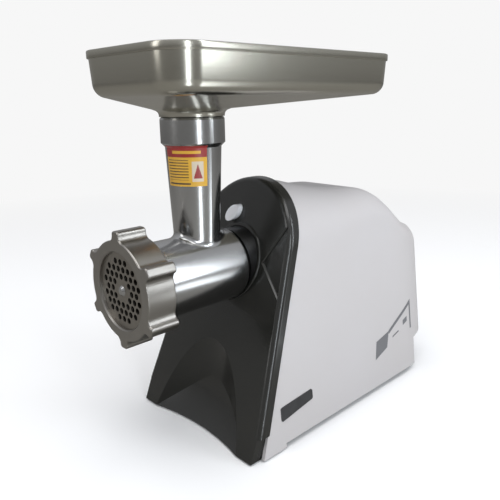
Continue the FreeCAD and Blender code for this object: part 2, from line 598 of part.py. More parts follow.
def grinding_plate():
    plate = rod_y(PLATE_RADIUS, PLATE_FRONT_Y, PLATE_REAR_Y)
    row_pitch = PLATE_HOLE_PITCH * math.sqrt(3) / 2
    reach = int(PLATE_RADIUS / row_pitch) + 1
    holes = []
    for row in range(-reach, reach + 1):
        for column in range(-reach, reach + 1):
            x, z = PLATE_HOLE_PITCH * (column + 0.5 * (row % 2)), row_pitch * row
            if PLATE_HOLES_INSIDE < math.hypot(x, z) < PLATE_HOLES_OUTSIDE:
                holes.append(rod_y(PLATE_HOLE_RADIUS, PLATE_FRONT_Y - 1, PLATE_REAR_Y + 1, x, AXIS_Z + z))
    key_slot = rod_y(1.3, PLATE_FRONT_Y - 1, PLATE_REAR_Y + 1, 0, AXIS_Z - PLATE_RADIUS - 0.1)
    hub = rod_y(STUB_RADIUS + RUN, PLATE_FRONT_Y - 1, PLATE_REAR_Y + 1)
    return plate.cut(holes + [key_slot, hub])


def ring_nut():
    body = rod_y(RING_BODY_RADIUS, RING_FRONT_Y, RING_REAR_Y)
    half = RING_LUG_WIDTH / 2
    for lug in range(LUG_COUNT):
        nib = block(-half, half, RING_FRONT_Y, RING_REAR_Y, AXIS_Z, AXIS_Z + RING_LUG_RADIUS)
        body = body.fuse(turned_y(nib, 360.0 * lug / LUG_COUNT))
    body = body.removeSplitter()
    along = [edge for edge in body.Edges if edge.BoundBox.YLength > RING_DEPTH - 0.1]
    from_axis = [math.hypot(edge.CenterOfMass.x, edge.CenterOfMass.z - AXIS_Z) for edge in along]
    roots = [edge for edge, reach in zip(along, from_axis) if reach < RING_BODY_RADIUS + 0.5]
    body = body.makeFillet(RING_LUG_ROOT, roots)
    tips = [edge for edge in body.Edges if edge.BoundBox.YLength > RING_DEPTH - 0.1
            and math.hypot(edge.CenterOfMass.x, edge.CenterOfMass.z - AXIS_Z) > RING_LUG_RADIUS - 0.5]
    body = body.makeFillet(half * 0.6, tips)
    body = body.makeFillet(RING_EDGE_ROUND, [edge for edge in body.Edges if edge.BoundBox.YLength < 0.01])
    bore = THREAD_RADIUS + GAP + THREAD_DEPTH
    body = body.cut([rod_y(bore, PLATE_FRONT_Y - SEAT, RING_REAR_Y + 1),
                     rod_y(RING_APERTURE_RADIUS, RING_FRONT_Y - 1, PLATE_FRONT_Y + 1),
                     cone_y(RING_APERTURE_RADIUS + 1, RING_APERTURE_RADIUS, RING_FRONT_Y - 0.01,
                            RING_FRONT_Y + 1)])
    return body.fuse(ridges_y(bore + 0.3, THREAD_RADIUS + GAP, HEAD_FRONT_Y + 1, RING_REAR_Y - 1))


# ---- hopper tray -----------------------------------------------------------------------------
def tray_wire(z, inset, blend):
    """Rounded rectangle at height z, drawn in towards the neck as blend goes from 0 to 1."""
    neck = COLLAR_RADIUS + 0.2
    edges = (TRAY_HALF_WIDTH - inset, -TRAY_FRONT_Y - inset, TRAY_REAR_Y - inset)
    half, front, rear = [edge + (neck - edge) * blend for edge in edges]
    radius = (TRAY_CORNER - inset * 0.6) * (1 - blend) + (neck - 0.2) * blend
    corners = [(half, rear, 0), (-half, rear, 90), (-half, -front, 180), (half, -front, 270)]
    pieces, last = [], None
    for x, y, start in corners:
        centre = Vector(x - math.copysign(radius, x), y - math.copysign(radius, y), z)
        arc = [centre + Vector(radius * math.cos(math.radians(start + turn)),
                               radius * math.sin(math.radians(start + turn)), 0) for turn in (0, 45, 90)]
        if last is not None:
            pieces.append(Part.LineSegment(last, arc[0]))
        pieces.append(Part.Arc(*arc))
        last = arc[2]
        first = arc[0] if len(pieces) == 1 else first
    pieces.append(Part.LineSegment(last, first))
    return Part.Wire([piece.toShape() for piece in pieces])


def tray_body(inset, lift, top):
    """Solid dish: (height below the rim, inset of the wall, share of the way to the neck)."""
    levels = [(24.0, 2.6, 0.0), (28.5, 5.0, 0.0), (31.5, 9.5, 0.0), (33.0, 15.0, 0.0), (43.0, 15.0, 1.0)]
    wires = [tray_wire(top, inset + 1.2, 0.0)]
    wires += [tray_wire(TRAY_TOP_Z - fall + lift, draw + inset, blend) for fall, draw, blend in levels]
    return Part.makeLoft(wires, True, True)


def hopper_tray():
    rim = tray_wire(TRAY_TOP_Z, 0, 0)
    band = Part.Face(rim).extrude(Vector(0, 0, -5.5))
    outer = tray_body(0, 0, TRAY_TOP_Z - 1).fuse(band)
    inner = tray_body(TRAY_SHEET, TRAY_SHEET, TRAY_TOP_Z + 1)
    lip = rod_z(COLLAR_RADIUS + 0.2, COLLAR_TOP_Z + SEAT, TRAY_TOP_Z - 42)
    neck = rod_z(TRAY_NECK_RADIUS, THROAT_SEAT_Z + 1, TRAY_TOP_Z - 42)
    hole = rod_z(TRAY_NECK_RADIUS - TRAY_SHEET, THROAT_SEAT_Z - 1, TRAY_TOP_Z - 20)
    return outer.fuse([lip, neck]).cut([inner, hole])


# ---- auger and blade -------------------------------------------------------------------------
def helix_y(radius, pitch, length, start):
    """Helical wire about the auger axis, running along +Y."""
    wire = Part.makeHelix(pitch, length, radius)
    wire.rotate(Vector(0, 0, 0), Vector(1, 0, 0), -90)
    wire.translate(Vector(0, start, AXIS_Z))
    return wire


def auger():
    front, rear = BLADE_REAR_Y + 1, BARREL_REAR_Y - 5 - 2
    core = cone_y(CORE_RADIUS + 2, CORE_RADIUS, BLADE_REAR_Y + SEAT, rear)
    mid = (CORE_RADIUS - 2 + FLIGHT_RADIUS) / 2
    spine = helix_y(mid, FLIGHT_PITCH, rear - front - FLIGHT_THICKNESS, front + FLIGHT_THICKNESS / 2)
    half = (FLIGHT_RADIUS - CORE_RADIUS + 2) / 2
    corners = [(mid - half, -2.0), (mid + half, -1.0), (mid + half, 1.0), (mid - half, 2.0)]
    corners = [Vector(x, front + FLIGHT_THICKNESS / 2 + y * FLIGHT_THICKNESS / 4, AXIS_Z)
               for x, y in corners]
    profile = Part.makePolygon(corners + corners[:1])
    flight = spine.makePipeShell([profile], True, True)
    nose = block(-STUB_RADIUS, STUB_RADIUS, PLATE_REAR_Y + SEAT, BLADE_REAR_Y + 1,
                 AXIS_Z - STUB_RADIUS, AXIS_Z + STUB_RADIUS)
    stub = rod_y(STUB_RADIUS, PLATE_FRONT_Y, PLATE_REAR_Y + 1)
    tip = cone_y(STUB_RADIUS * 0.6, STUB_RADIUS, PLATE_FRONT_Y - 1.6, PLATE_FRONT_Y)
    tail = rod_y(TAIL_RADIUS, rear - 1, SPIGOT_REAR_Y + 1)
    side = TAIL_SQUARE / 2
    drive = block(-side, side, SPIGOT_REAR_Y, SPIGOT_REAR_Y + 17, AXIS_Z - side, AXIS_Z + side)
    return union([core, flight, nose, stub, tip, tail, drive])


def cutting_blade():
    """Four-armed knife on the auger's square nose, just behind the plate."""
    start, end = PLATE_REAR_Y + SEAT, BLADE_REAR_Y
    arms = [block(-BLADE_RADIUS, BLADE_RADIUS, start, end, AXIS_Z - 4.5, AXIS_Z + 4.5),
            block(-4.5, 4.5, start, end, AXIS_Z - BLADE_RADIUS, AXIS_Z + BLADE_RADIUS)]
    body = union(arms + [rod_y(10.5, start, end)]).common(rod_y(BLADE_RADIUS, start, end))
    bore = STUB_RADIUS
    return body.cut(block(-bore, bore, start - 1, end + 1, AXIS_Z - bore, AXIS_Z + bore))


def auger_washer():
    wall = BARREL_REAR_Y - 5
    return tube_y(TAIL_RADIUS + 6, TAIL_RADIUS + RUN, wall - 1.8, wall - SEAT)


# ---- gears -----------------------------------------------------------------------------------
def gear_y(module, teeth, start, width, x, z, tooth_angle, bore):
    """Involute spur gear about Y, with the middle of one tooth at tooth_angle (degrees from +X)."""
    pressure = math.radians(PRESSURE_ANGLE)
    pitch_radius = module * teeth / 2
    base = pitch_radius * math.cos(pressure)
    tip, root = pitch_radius + module, pitch_radius - 1.2 * module
    half_tooth = (math.pi * module / 2 - BACKLASH) / 2 / pitch_radius
    involute = math.tan(pressure) - pressure

    def flank_angle(radius):
        turn = math.acos(min(1.0, base / radius))
        return half_tooth + involute - (math.tan(turn) - turn)

    def point(radius, angle):
        return Vector(radius * math.cos(angle), radius * math.sin(angle), 0)

    low = max(base, root)
    radii = [low + (tip - low) * step / 4 for step in range(5)]
    edges = []
    for tooth in range(teeth):
        middle = 2 * math.pi * tooth / teeth
        rising = [point(radius, middle - flank_angle(radius)) for radius in radii]
        falling = [point(radius, middle + flank_angle(radius)) for radius in reversed(radii)]
        foot_in, foot_out = point(root, middle - flank_angle(low)), point(root, middle + flank_angle(low))
        next_foot = point(root, middle + 2 * math.pi / teeth - flank_angle(low))
        if base > root:
            edges.append(Part.LineSegment(foot_in, rising[0]).toShape())
        for side in (rising, falling):
            curve = Part.BSplineCurve()
            curve.interpolate(side)
            if side is falling:
                edges.append(Part.Arc(rising[-1], point(tip, middle), falling[0]).toShape())
            edges.append(curve.toShape())
        if base > root:
            edges.append(Part.LineSegment(falling[-1], foot_out).toShape())
        edges.append(Part.Arc(foot_out, point(root, middle + math.pi / teeth), next_foot).toShape())
    gear = Part.Face(Part.Wire(edges)).extrude(Vector(0, 0, width))
    gear.rotate(Vector(0, 0, 0), Vector(0, 0, 1), tooth_angle)
    gear.rotate(Vector(0, 0, 0), Vector(1, 0, 0), 90)
    gear.translate(Vector(x, start + width, z))
    return gear.cut(rod_y(bore, start - 1, start + width + 1, x, z))


def direction(x_from, z_from, x_to, z_to):
    return math.degrees(math.atan2(z_to - z_from, x_to - x_from))


def lightened(gear, start, width, x, z, hub, rim):
    """Thins the web of a gear between hub and rim, on both faces."""
    depth = width * 0.25
    return gear.cut([tube_y(rim, hub, start - 1, start + depth, x, z),
                     tube_y(rim, hub, start + width - depth, start + width + 1, x, z)])


def output_gear():
    mesh = direction(0, AXIS_Z, SECOND_SHAFT_X, SECOND_SHAFT_Z)
    gear = gear_y(THIRD_MODULE, OUTPUT_GEAR, OUTPUT_GEAR_Y, OUTPUT_GEAR_WIDTH, 0, AXIS_Z, mesh,
                  OUTPUT_SHAFT_RADIUS)
    rim = THIRD_MODULE * OUTPUT_GEAR / 2 - 5
    return lightened(gear, OUTPUT_GEAR_Y, OUTPUT_GEAR_WIDTH, 0, AXIS_Z, OUTPUT_SHAFT_RADIUS + 5, rim)


def second_pinion():
    mesh = direction(SECOND_SHAFT_X, SECOND_SHAFT_Z, 0, AXIS_Z) + 180.0 / THIRD_PINION
    return gear_y(THIRD_MODULE, THIRD_PINION, OUTPUT_GEAR_Y, OUTPUT_GEAR_WIDTH, SECOND_SHAFT_X,
                  SECOND_SHAFT_Z, mesh, LAYSHAFT_RADIUS)


def second_gear():
    mesh = direction(SECOND_SHAFT_X, SECOND_SHAFT_Z, FIRST_SHAFT_X, FIRST_SHAFT_Z)
    gear = gear_y(SECOND_MODULE, SECOND_GEAR, SECOND_GEAR_Y, SECOND_GEAR_WIDTH, SECOND_SHAFT_X,
                  SECOND_SHAFT_Z, mesh, LAYSHAFT_RADIUS)
    rim = SECOND_MODULE * SECOND_GEAR / 2 - 4
    return lightened(gear, SECOND_GEAR_Y, SECOND_GEAR_WIDTH, SECOND_SHAFT_X, SECOND_SHAFT_Z,
                     LAYSHAFT_RADIUS + 4, rim)


def first_pinion():
    mesh = direction(FIRST_SHAFT_X, FIRST_SHAFT_Z, SECOND_SHAFT_X, SECOND_SHAFT_Z)
    return gear_y(SECOND_MODULE, SECOND_PINION, SECOND_GEAR_Y, SECOND_GEAR_WIDTH, FIRST_SHAFT_X,
                  FIRST_SHAFT_Z, mesh + 180.0 / SECOND_PINION, LAYSHAFT_RADIUS)


def first_gear():
    mesh = direction(FIRST_SHAFT_X, FIRST_SHAFT_Z, 0, MOTOR_Z)
    gear = gear_y(FIRST_MODULE, FIRST_GEAR, FIRST_GEAR_Y, FIRST_GEAR_WIDTH, FIRST_SHAFT_X,
                  FIRST_SHAFT_Z, mesh, LAYSHAFT_RADIUS)
    rim = FIRST_MODULE * FIRST_GEAR / 2 - 4
    return lightened(gear, FIRST_GEAR_Y, FIRST_GEAR_WIDTH, FIRST_SHAFT_X, FIRST_SHAFT_Z,
                     LAYSHAFT_RADIUS + 4, rim)


PINION_BORE = 3.0         # the motor shaft is turned down to this radius under its pinion


def motor_pinion():
    mesh = direction(0, MOTOR_Z, FIRST_SHAFT_X, FIRST_SHAFT_Z) + 180.0 / FIRST_PINION
    return gear_y(FIRST_MODULE, FIRST_PINION, FIRST_GEAR_Y, FIRST_GEAR_WIDTH, 0, MOTOR_Z, mesh, PINION_BORE)


# ---- gearbox ---------------------------------------------------------------------------------
LAYSHAFTS = [(FIRST_SHAFT_X, FIRST_SHAFT_Z), (SECOND_SHAFT_X, SECOND_SHAFT_Z)]
BUSH_WALL = 3.0
FRONT_BUSH_REAR_Y = OUTPUT_GEAR_Y - 0.8
REAR_BUSH_FRONT_Y = FIRST_GEAR_Y + FIRST_GEAR_WIDTH + 1.0
JOURNAL_RADIUS = OUTPUT_SHAFT_RADIUS / 2
SHAFT_NOSE_Y = SPIGOT_REAR_Y + 3
SOCKET_FLANGE = 38.0
SOCKET_BOLT_ORBIT = 34.6
SOCKET_BOLT_ANGLES = (30, 150, 210, 330)
BEARING_RADIUS, BEARING_WIDTH = 11.0, 7.0
MOTOR_BOLT_X = FIELD_RADIUS - 4.5


def case_outline(inset, start, end):
    """Round top about the output axis, straight sides and rounded bottom corners."""
    half = CASE_HALF_WIDTH - inset
    low = block(-half, half, start, end, CASE_LOW_Z + inset, AXIS_Z)
    corners = [edge for edge in low.Edges if edge.BoundBox.YLength > end - start - 0.1
               and edge.BoundBox.ZMax < CASE_LOW_Z + inset + 1]
    return low.makeFillet(15.0 - inset, corners).fuse(rod_y(half, start, end)).removeSplitter()


def case_bolts():
    inner = CASE_HALF_WIDTH - 7.5
    return [(side * inner, z) for z in (CASE_LOW_Z + 20, AXIS_Z - 8) for side in (-1, 1)] + [
        (side * 30.0, AXIS_Z + 29.0) for side in (-1, 1)]


def gearbox_case():
    shell = case_outline(0, CASE_FRONT_Y, CASE_REAR_Y)
    shell = shell.cut(case_outline(CASE_WALL, CASE_FRONT_Y + CASE_WALL, CASE_REAR_Y + 1))
    bosses = [rod_y(LAYSHAFT_RADIUS + BUSH_WALL + 2, CASE_FRONT_Y, FRONT_BUSH_REAR_Y, x, z)
              for x, z in LAYSHAFTS]
    legs = []
    for x, y in LEG_POSTS:
        leg = block(x - 8, x + 8, y - 16, y + 16, BASE_HIGH, CASE_LOW_Z + 6)
        leg = leg.cut(case_outline(CASE_WALL, CASE_FRONT_Y, CASE_REAR_Y))
        legs.append(leg.cut(rod_z(1.7, BASE_HIGH - 1, BASE_HIGH + 14, x, y)))
    shell = shell.fuse(bosses + legs + gearbox_posts())
    holes = [rod_y(LAYSHAFT_RADIUS + BUSH_WALL, CASE_FRONT_Y + 1, CASE_REAR_Y, x, z)
             for x, z in LAYSHAFTS]
    holes.append(rod_y(OUTPUT_SHAFT_RADIUS + BUSH_WALL, CASE_FRONT_Y - 1, CASE_REAR_Y))
    holes += [rod_y(1.5, CASE_FRONT_Y - 1, CASE_FRONT_Y + CASE_WALL + 1, *place)
              for place in socket_bolts()]
    return shell.cut(holes)


def gearbox_cover():
    plate = case_outline(0, CASE_REAR_Y, COVER_REAR_Y)
    bosses = [rod_y(LAYSHAFT_RADIUS + BUSH_WALL + 2, REAR_BUSH_FRONT_Y, CASE_REAR_Y, x, z)
              for x, z in LAYSHAFTS]
    bosses.append(rod_y(JOURNAL_RADIUS + BUSH_WALL + 2, REAR_BUSH_FRONT_Y, CASE_REAR_Y))
    bosses.append(rod_y(BEARING_RADIUS + 3, COVER_REAR_Y, COVER_REAR_Y + BEARING_WIDTH, 0, MOTOR_Z))
    plate = plate.fuse(bosses)
    holes = [rod_y(LAYSHAFT_RADIUS + BUSH_WALL, REAR_BUSH_FRONT_Y - 1, COVER_REAR_Y - 1, x, z)
             for x, z in LAYSHAFTS]
    holes.append(rod_y(JOURNAL_RADIUS + BUSH_WALL, REAR_BUSH_FRONT_Y - 1, COVER_REAR_Y - 1))
    holes.append(rod_y(BEARING_RADIUS, COVER_REAR_Y, COVER_REAR_Y + BEARING_WIDTH + 1, 0, MOTOR_Z))
    holes.append(rod_y(MOTOR_SHAFT_RADIUS + 3, CASE_REAR_Y - 1, COVER_REAR_Y + 1, 0, MOTOR_Z))
    holes += [rod_y(1.8, CASE_REAR_Y - 1, COVER_REAR_Y + 1, x, z) for x, z in case_bolts()]
    holes += [rod_y(2.0, CASE_REAR_Y - 1, COVER_REAR_Y + 1, side * MOTOR_BOLT_X, MOTOR_Z)
              for side in (-1, 1)]
    return plate.cut(holes)


def gearbox_posts():
    """Screw posts inside the case, in the corners that the gears leave free."""
    inside = case_outline(CASE_WALL / 2, CASE_FRONT_Y + CASE_WALL, CASE_REAR_Y)
    return [rod_y(5.5, CASE_REAR_Y - 14, CASE_REAR_Y, x, z).common(inside)
            .cut(rod_y(1.4, CASE_REAR_Y - 13, CASE_REAR_Y + 1, x, z)) for x, z in case_bolts()]


def gearbox_screws():
    screws = []
    for x, z in case_bolts():
        screw = screw_y(3.2, 2.2, 1.4, COVER_THICKNESS + 11, x, 0, z)
        screw.rotate(Vector(x, 0, z), Vector(0, 0, 1), 180)
        screw.translate(Vector(0, COVER_REAR_Y, 0))
        screws.append(screw)
    return group(screws)


def leg_screws():
    return group([screw_up(3.4, 2.2, 1.7, WALL + 13, x, y, BASE_LOW) for x, y in LEG_POSTS])


def socket_bolts():
    return [(SOCKET_BOLT_ORBIT * math.cos(math.radians(angle)),
             AXIS_Z + SOCKET_BOLT_ORBIT * math.sin(math.radians(angle))) for angle in SOCKET_BOLT_ANGLES]


def keyway():
    """Slot along the top of the head socket that the lock pin and its arm slide in."""
    x, z = pin_place()
    slot = block(-3.0, 3.0, SOCKET_FRONT_Y - 1, CASE_FRONT_Y + 1, SPIGOT_RADIUS + 0.6, SOCKET_FLANGE + 8)
    slot.rotate(Vector(0, 0, 0), Vector(0, 1, 0), math.degrees(math.atan2(x, z - AXIS_Z)))
    slot.translate(Vector(0, 0, AXIS_Z))
    return slot


def head_socket():
    ring = tube_y(SOCKET_RADIUS, SPIGOT_RADIUS + RUN, SOCKET_FRONT_Y, CASE_FRONT_Y)
    flange = tube_y(SOCKET_FLANGE, SPIGOT_RADIUS + RUN, CASE_FRONT_Y - 4, CASE_FRONT_Y)
    holes = [rod_y(1.8, CASE_FRONT_Y - 5, CASE_FRONT_Y + 1, *place) for place in socket_bolts()]
    return union([ring, flange]).cut(holes + [keyway()])


def socket_screws():
    return group([screw_y(3.0, 2.0, 1.5, 4 + CASE_WALL, x, CASE_FRONT_Y - 4, z)
                  for x, z in socket_bolts()])


def output_bush():
    return tube_y(OUTPUT_SHAFT_RADIUS + BUSH_WALL, OUTPUT_SHAFT_RADIUS + RUN, CASE_FRONT_Y - 7,
                  FRONT_BUSH_REAR_Y)


def shaft_bushes():
    places = [(LAYSHAFT_RADIUS, x, z) for x, z in LAYSHAFTS]
    bushes = [tube_y(radius + BUSH_WALL, radius + RUN, CASE_FRONT_Y + 1, FRONT_BUSH_REAR_Y, x, z)
              for radius, x, z in places]
    places.append((JOURNAL_RADIUS, 0, AXIS_Z))
    bushes += [tube_y(radius + BUSH_WALL, radius + RUN, REAR_BUSH_FRONT_Y, COVER_REAR_Y - 1, x, z)
               for radius, x, z in places]
    return group(bushes)


def output_shaft():
    body = union([rod_y(OUTPUT_SHAFT_RADIUS, SHAFT_NOSE_Y, OUTPUT_GEAR_Y + OUTPUT_GEAR_WIDTH),
                  rod_y(JOURNAL_RADIUS, OUTPUT_GEAR_Y, COVER_REAR_Y - 1.5)])
    side = TAIL_SQUARE / 2 + RUN
    return body.cut(block(-side, side, SHAFT_NOSE_Y - 1, SPIGOT_REAR_Y + 18, AXIS_Z - side, AXIS_Z + side))


def output_clip():
    place = OUTPUT_GEAR_Y + OUTPUT_GEAR_WIDTH
    clip = tube_y(JOURNAL_RADIUS + 3, JOURNAL_RADIUS, place, place + 1.2)
    return clip.cut(block(-2, 2, place - 1, place + 2, AXIS_Z, AXIS_Z + 12))


def layshaft(x, z):
    return rod_y(LAYSHAFT_RADIUS, CASE_FRONT_Y + 1.5, COVER_REAR_Y - 1.5, x, z)


# ---- motor -----------------------------------------------------------------------------------
FAN_Y, FAN_WIDTH = COVER_REAR_Y + BEARING_WIDTH + 1.5, 8.0
FIELD_Y = FAN_Y + FAN_WIDTH + 11
FIELD_END_Y = FIELD_Y + ARMATURE_LENGTH
COMMUTATOR_Y, COMMUTATOR_WIDTH, COMMUTATOR_RADIUS = FIELD_END_Y + 8, 12.0, 11.0
BRUSH_Y = COMMUTATOR_Y + COMMUTATOR_WIDTH / 2
HOLDER_TOP = 34.0
ARMATURE_SLOTS = 12
BRACKET_Y = MOTOR_REAR_Y - 4


def around_motor(shape, degrees):
    return turned_y(shape, degrees, 0, MOTOR_Z)


def motor_shaft():
    return union([rod_y(MOTOR_SHAFT_RADIUS, FIRST_GEAR_Y + FIRST_GEAR_WIDTH + 1, MOTOR_REAR_Y - 1,
                        0, MOTOR_Z),
                  rod_y(PINION_BORE, FIRST_GEAR_Y - 0.5, FIRST_GEAR_Y + FIRST_GEAR_WIDTH + 2, 0, MOTOR_Z)])


def armature_core():
    radius = FIELD_BORE - CORE_GAP
    core = tube_y(radius, MOTOR_SHAFT_RADIUS, FIELD_Y, FIELD_END_Y, 0, MOTOR_Z)
    slot = rod_y(2.2, FIELD_Y - 1, FIELD_END_Y + 1, radius - 4, MOTOR_Z).fuse(
        block(radius - 4, radius + 1, FIELD_Y - 1, FIELD_END_Y + 1, MOTOR_Z - 0.9, MOTOR_Z + 0.9))
    return core.cut([around_motor(slot, 360.0 * i / ARMATURE_SLOTS) for i in range(ARMATURE_SLOTS)])


def armature_windings():
    ends = []
    for start, end in ((FIELD_Y - 7, FIELD_Y), (FIELD_END_Y, FIELD_END_Y + 7)):
        ring = tube_y(FIELD_BORE - 4, MOTOR_SHAFT_RADIUS + 2, start, end, 0, MOTOR_Z)
        outer = [edge for edge in ring.Edges if edge.BoundBox.XLength > 2 * (FIELD_BORE - 4.1)
                 and edge.BoundBox.YLength < 0.01]
        ends.append(ring.makeFillet(2.5, outer))
    return group(ends)


def commutator():
    body = tube_y(COMMUTATOR_RADIUS, MOTOR_SHAFT_RADIUS, COMMUTATOR_Y, COMMUTATOR_Y + COMMUTATOR_WIDTH,
                  0, MOTOR_Z)
    groove = block(COMMUTATOR_RADIUS - 1, COMMUTATOR_RADIUS + 1, COMMUTATOR_Y + 1.5,
                   COMMUTATOR_Y + COMMUTATOR_WIDTH + 1, MOTOR_Z - 0.3, MOTOR_Z + 0.3)
    return body.cut([around_motor(groove, 15 + 360.0 * i / ARMATURE_SLOTS) for i in range(ARMATURE_SLOTS)])


def cooling_fan():
    hub = tube_y(9.0, MOTOR_SHAFT_RADIUS, FAN_Y, FAN_Y + FAN_WIDTH, 0, MOTOR_Z)
    disc = tube_y(30.5, MOTOR_SHAFT_RADIUS, FAN_Y + FAN_WIDTH - 1.6, FAN_Y + FAN_WIDTH, 0, MOTOR_Z)
    blade = block(8, 30, FAN_Y, FAN_Y + FAN_WIDTH, MOTOR_Z - 0.8, MOTOR_Z + 0.8)
    return union([hub, disc] + [around_motor(blade, 40.0 * i) for i in range(9)])


def fan_shroud():
    shroud = tube_y(FIELD_RADIUS, FIELD_RADIUS - 1.6, COVER_REAR_Y, FIELD_Y - 1, 0, MOTOR_Z)
    windows = [around_motor(block(20, 50, FAN_Y, FAN_Y + FAN_WIDTH - 1, MOTOR_Z - 7, MOTOR_Z + 7), turn)
               for turn in (0, 60, 120, 180, 240, 300)]
    return shroud.cut(windows)


def motor_bearings():
    rings = []
    width = BEARING_WIDTH
    for start in (COVER_REAR_Y, BRACKET_Y - 4):
        rings.append(tube_y(BEARING_RADIUS, BEARING_RADIUS - 2.2, start, start + width, 0, MOTOR_Z))
        rings.append(tube_y(MOTOR_SHAFT_RADIUS + 2.2, MOTOR_SHAFT_RADIUS + RUN, start, start + width,
                            0, MOTOR_Z))
        middle = (BEARING_RADIUS + MOTOR_SHAFT_RADIUS) / 2
        for i in range(7):
            angle = 2 * math.pi * i / 7
            rings.append(Part.makeSphere(1.3, Vector(middle * math.cos(angle), start + width / 2,
                                                     MOTOR_Z + middle * math.sin(angle))))
    return group(rings)


def field_core():
    """Laminated stack with a pole each side of the armature."""
    yoke = tube_y(FIELD_RADIUS, FIELD_RADIUS - 7, FIELD_Y, FIELD_END_Y, 0, MOTOR_Z)
    ring = tube_y(FIELD_RADIUS - 6, FIELD_BORE, FIELD_Y, FIELD_END_Y, 0, MOTOR_Z)
    poles = ring.common(union([block(-40, 40, FIELD_Y, FIELD_END_Y, MOTOR_Z - 17, MOTOR_Z + 17)]))
    bolts = [rod_y(2.2, FIELD_Y - 1, FIELD_END_Y + 1, side * MOTOR_BOLT_X, MOTOR_Z) for side in (-1, 1)]
    return union([yoke, poles]).cut(bolts)


def field_windings():
    bore = FIELD_BORE + 1.5
    coil = tube_y(bore + COIL_THICKNESS, bore, FIELD_Y - 9, FIELD_END_Y + 7, 0, MOTOR_Z)
    return coil.cut(block(-60, 60, FIELD_Y - GAP, FIELD_END_Y + GAP, MOTOR_Z - 17 - GAP, MOTOR_Z + 17 + GAP))


def motor_bolts():
    bolts = []
    for side in (-1, 1):
        bolt = screw_y(3.4, 2.5, 2.0, MOTOR_REAR_Y - CASE_REAR_Y, side * MOTOR_BOLT_X, 0, MOTOR_Z)
        bolt.rotate(Vector(side * MOTOR_BOLT_X, 0, MOTOR_Z), Vector(0, 0, 1), 180)
        bolt.translate(Vector(0, MOTOR_REAR_Y, 0))
        bolts.append(bolt)
    return group(bolts)


def motor_bracket():
    """Rear end frame that holds the bearing and both brush holders."""
    plate = rod_y(FIELD_RADIUS, BRACKET_Y, MOTOR_REAR_Y, 0, MOTOR_Z)
    boss = rod_y(BEARING_RADIUS + 3, BRACKET_Y - 4, MOTOR_REAR_Y, 0, MOTOR_Z)
    arms = []
    for side in (-1, 1):
        low, high = sorted((MOTOR_Z + side * 15, MOTOR_Z + side * HOLDER_TOP))
        arms.append(block(-7, 7, BRUSH_Y + 5, BRACKET_Y + 1, low, high))
        arms.append(tube_y(3.4, 2.2, FIELD_END_Y, BRACKET_Y, side * MOTOR_BOLT_X, MOTOR_Z))
    foot = block(-24, 24, BRACKET_Y, MOTOR_REAR_Y, BASE_HIGH, MOTOR_Z - 20)
    body = plate.fuse([boss, foot] + arms)
    windows = []
    for turn in (45, 135, 225, 315):
        window = rod_y(7.5, BRACKET_Y - 4, MOTOR_REAR_Y + 1, 24, MOTOR_Z)
        windows.append(around_motor(window, turn))
    windows.append(rod_y(BEARING_RADIUS, BRACKET_Y - 5, BRACKET_Y - 4 + BEARING_WIDTH, 0, MOTOR_Z))
    windows.append(rod_y(MOTOR_SHAFT_RADIUS + 1, BRACKET_Y, MOTOR_REAR_Y + 1, 0, MOTOR_Z))
    windows += [rod_y(2.2, FIELD_END_Y - 1, MOTOR_REAR_Y + 1, side * MOTOR_BOLT_X, MOTOR_Z)
                for side in (-1, 1)]
    return body.cut(windows)


def brush_parts():
    """Holders, carbon brushes and springs, one of each above and below the commutator."""
    gap_z = COMMUTATOR_RADIUS + RUN
    holders, brushes, springs = [], [], []
    for side in (1, -1):
        def at(low, high, half_x, half_y):
            z_low, z_high = sorted((MOTOR_Z + side * low, MOTOR_Z + side * high))
            return block(-half_x, half_x, BRUSH_Y - half_y, BRUSH_Y + half_y, z_low, z_high)
        holder = at(gap_z + 1.5, HOLDER_TOP, 4.0, 5.0).cut(at(gap_z, HOLDER_TOP - 1.5, 2.6, 3.6))
        holders.append(holder)
        brushes.append(at(gap_z, gap_z + 11, 2.5, 3.5))
        length = HOLDER_TOP - 1.5 - gap_z - 11
        coil = Part.makeHelix(length / 5.5, length - 0.7, 1.9)
        wire = Part.Wire([Part.makeCircle(0.3, Vector(1.9, 0, 0), Vector(0, 1, 0))])
        spring = coil.makePipeShell([wire], True, True)
        low = MOTOR_Z + gap_z + 11.35
        spring.translate(Vector(0, BRUSH_Y, low))
        springs.append(spring if side > 0 else around_motor(spring, 180))
    return group(holders), group(brushes), group(springs)


# ---- controls --------------------------------------------------------------------------------
BOARD_X, BOARD_Y, BOARD_LENGTH, BOARD_HEIGHT = 50.0, 120.0, 62.0, 42.0
ROCKER_HALF, ROCKER_HALF_HEIGHT = 9.5, 6.0
ROCKER_PLACES = [PANEL_Y + 15.0, PANEL_Y + 42.0]
ROCKER_Z = PANEL_Z + PANEL_HEIGHT / 2
RESET_Y = PANEL_Y + 66.0
PIVOT_X = PANEL_X + 1.25
PANEL_BACK = PANEL_X + 2.5


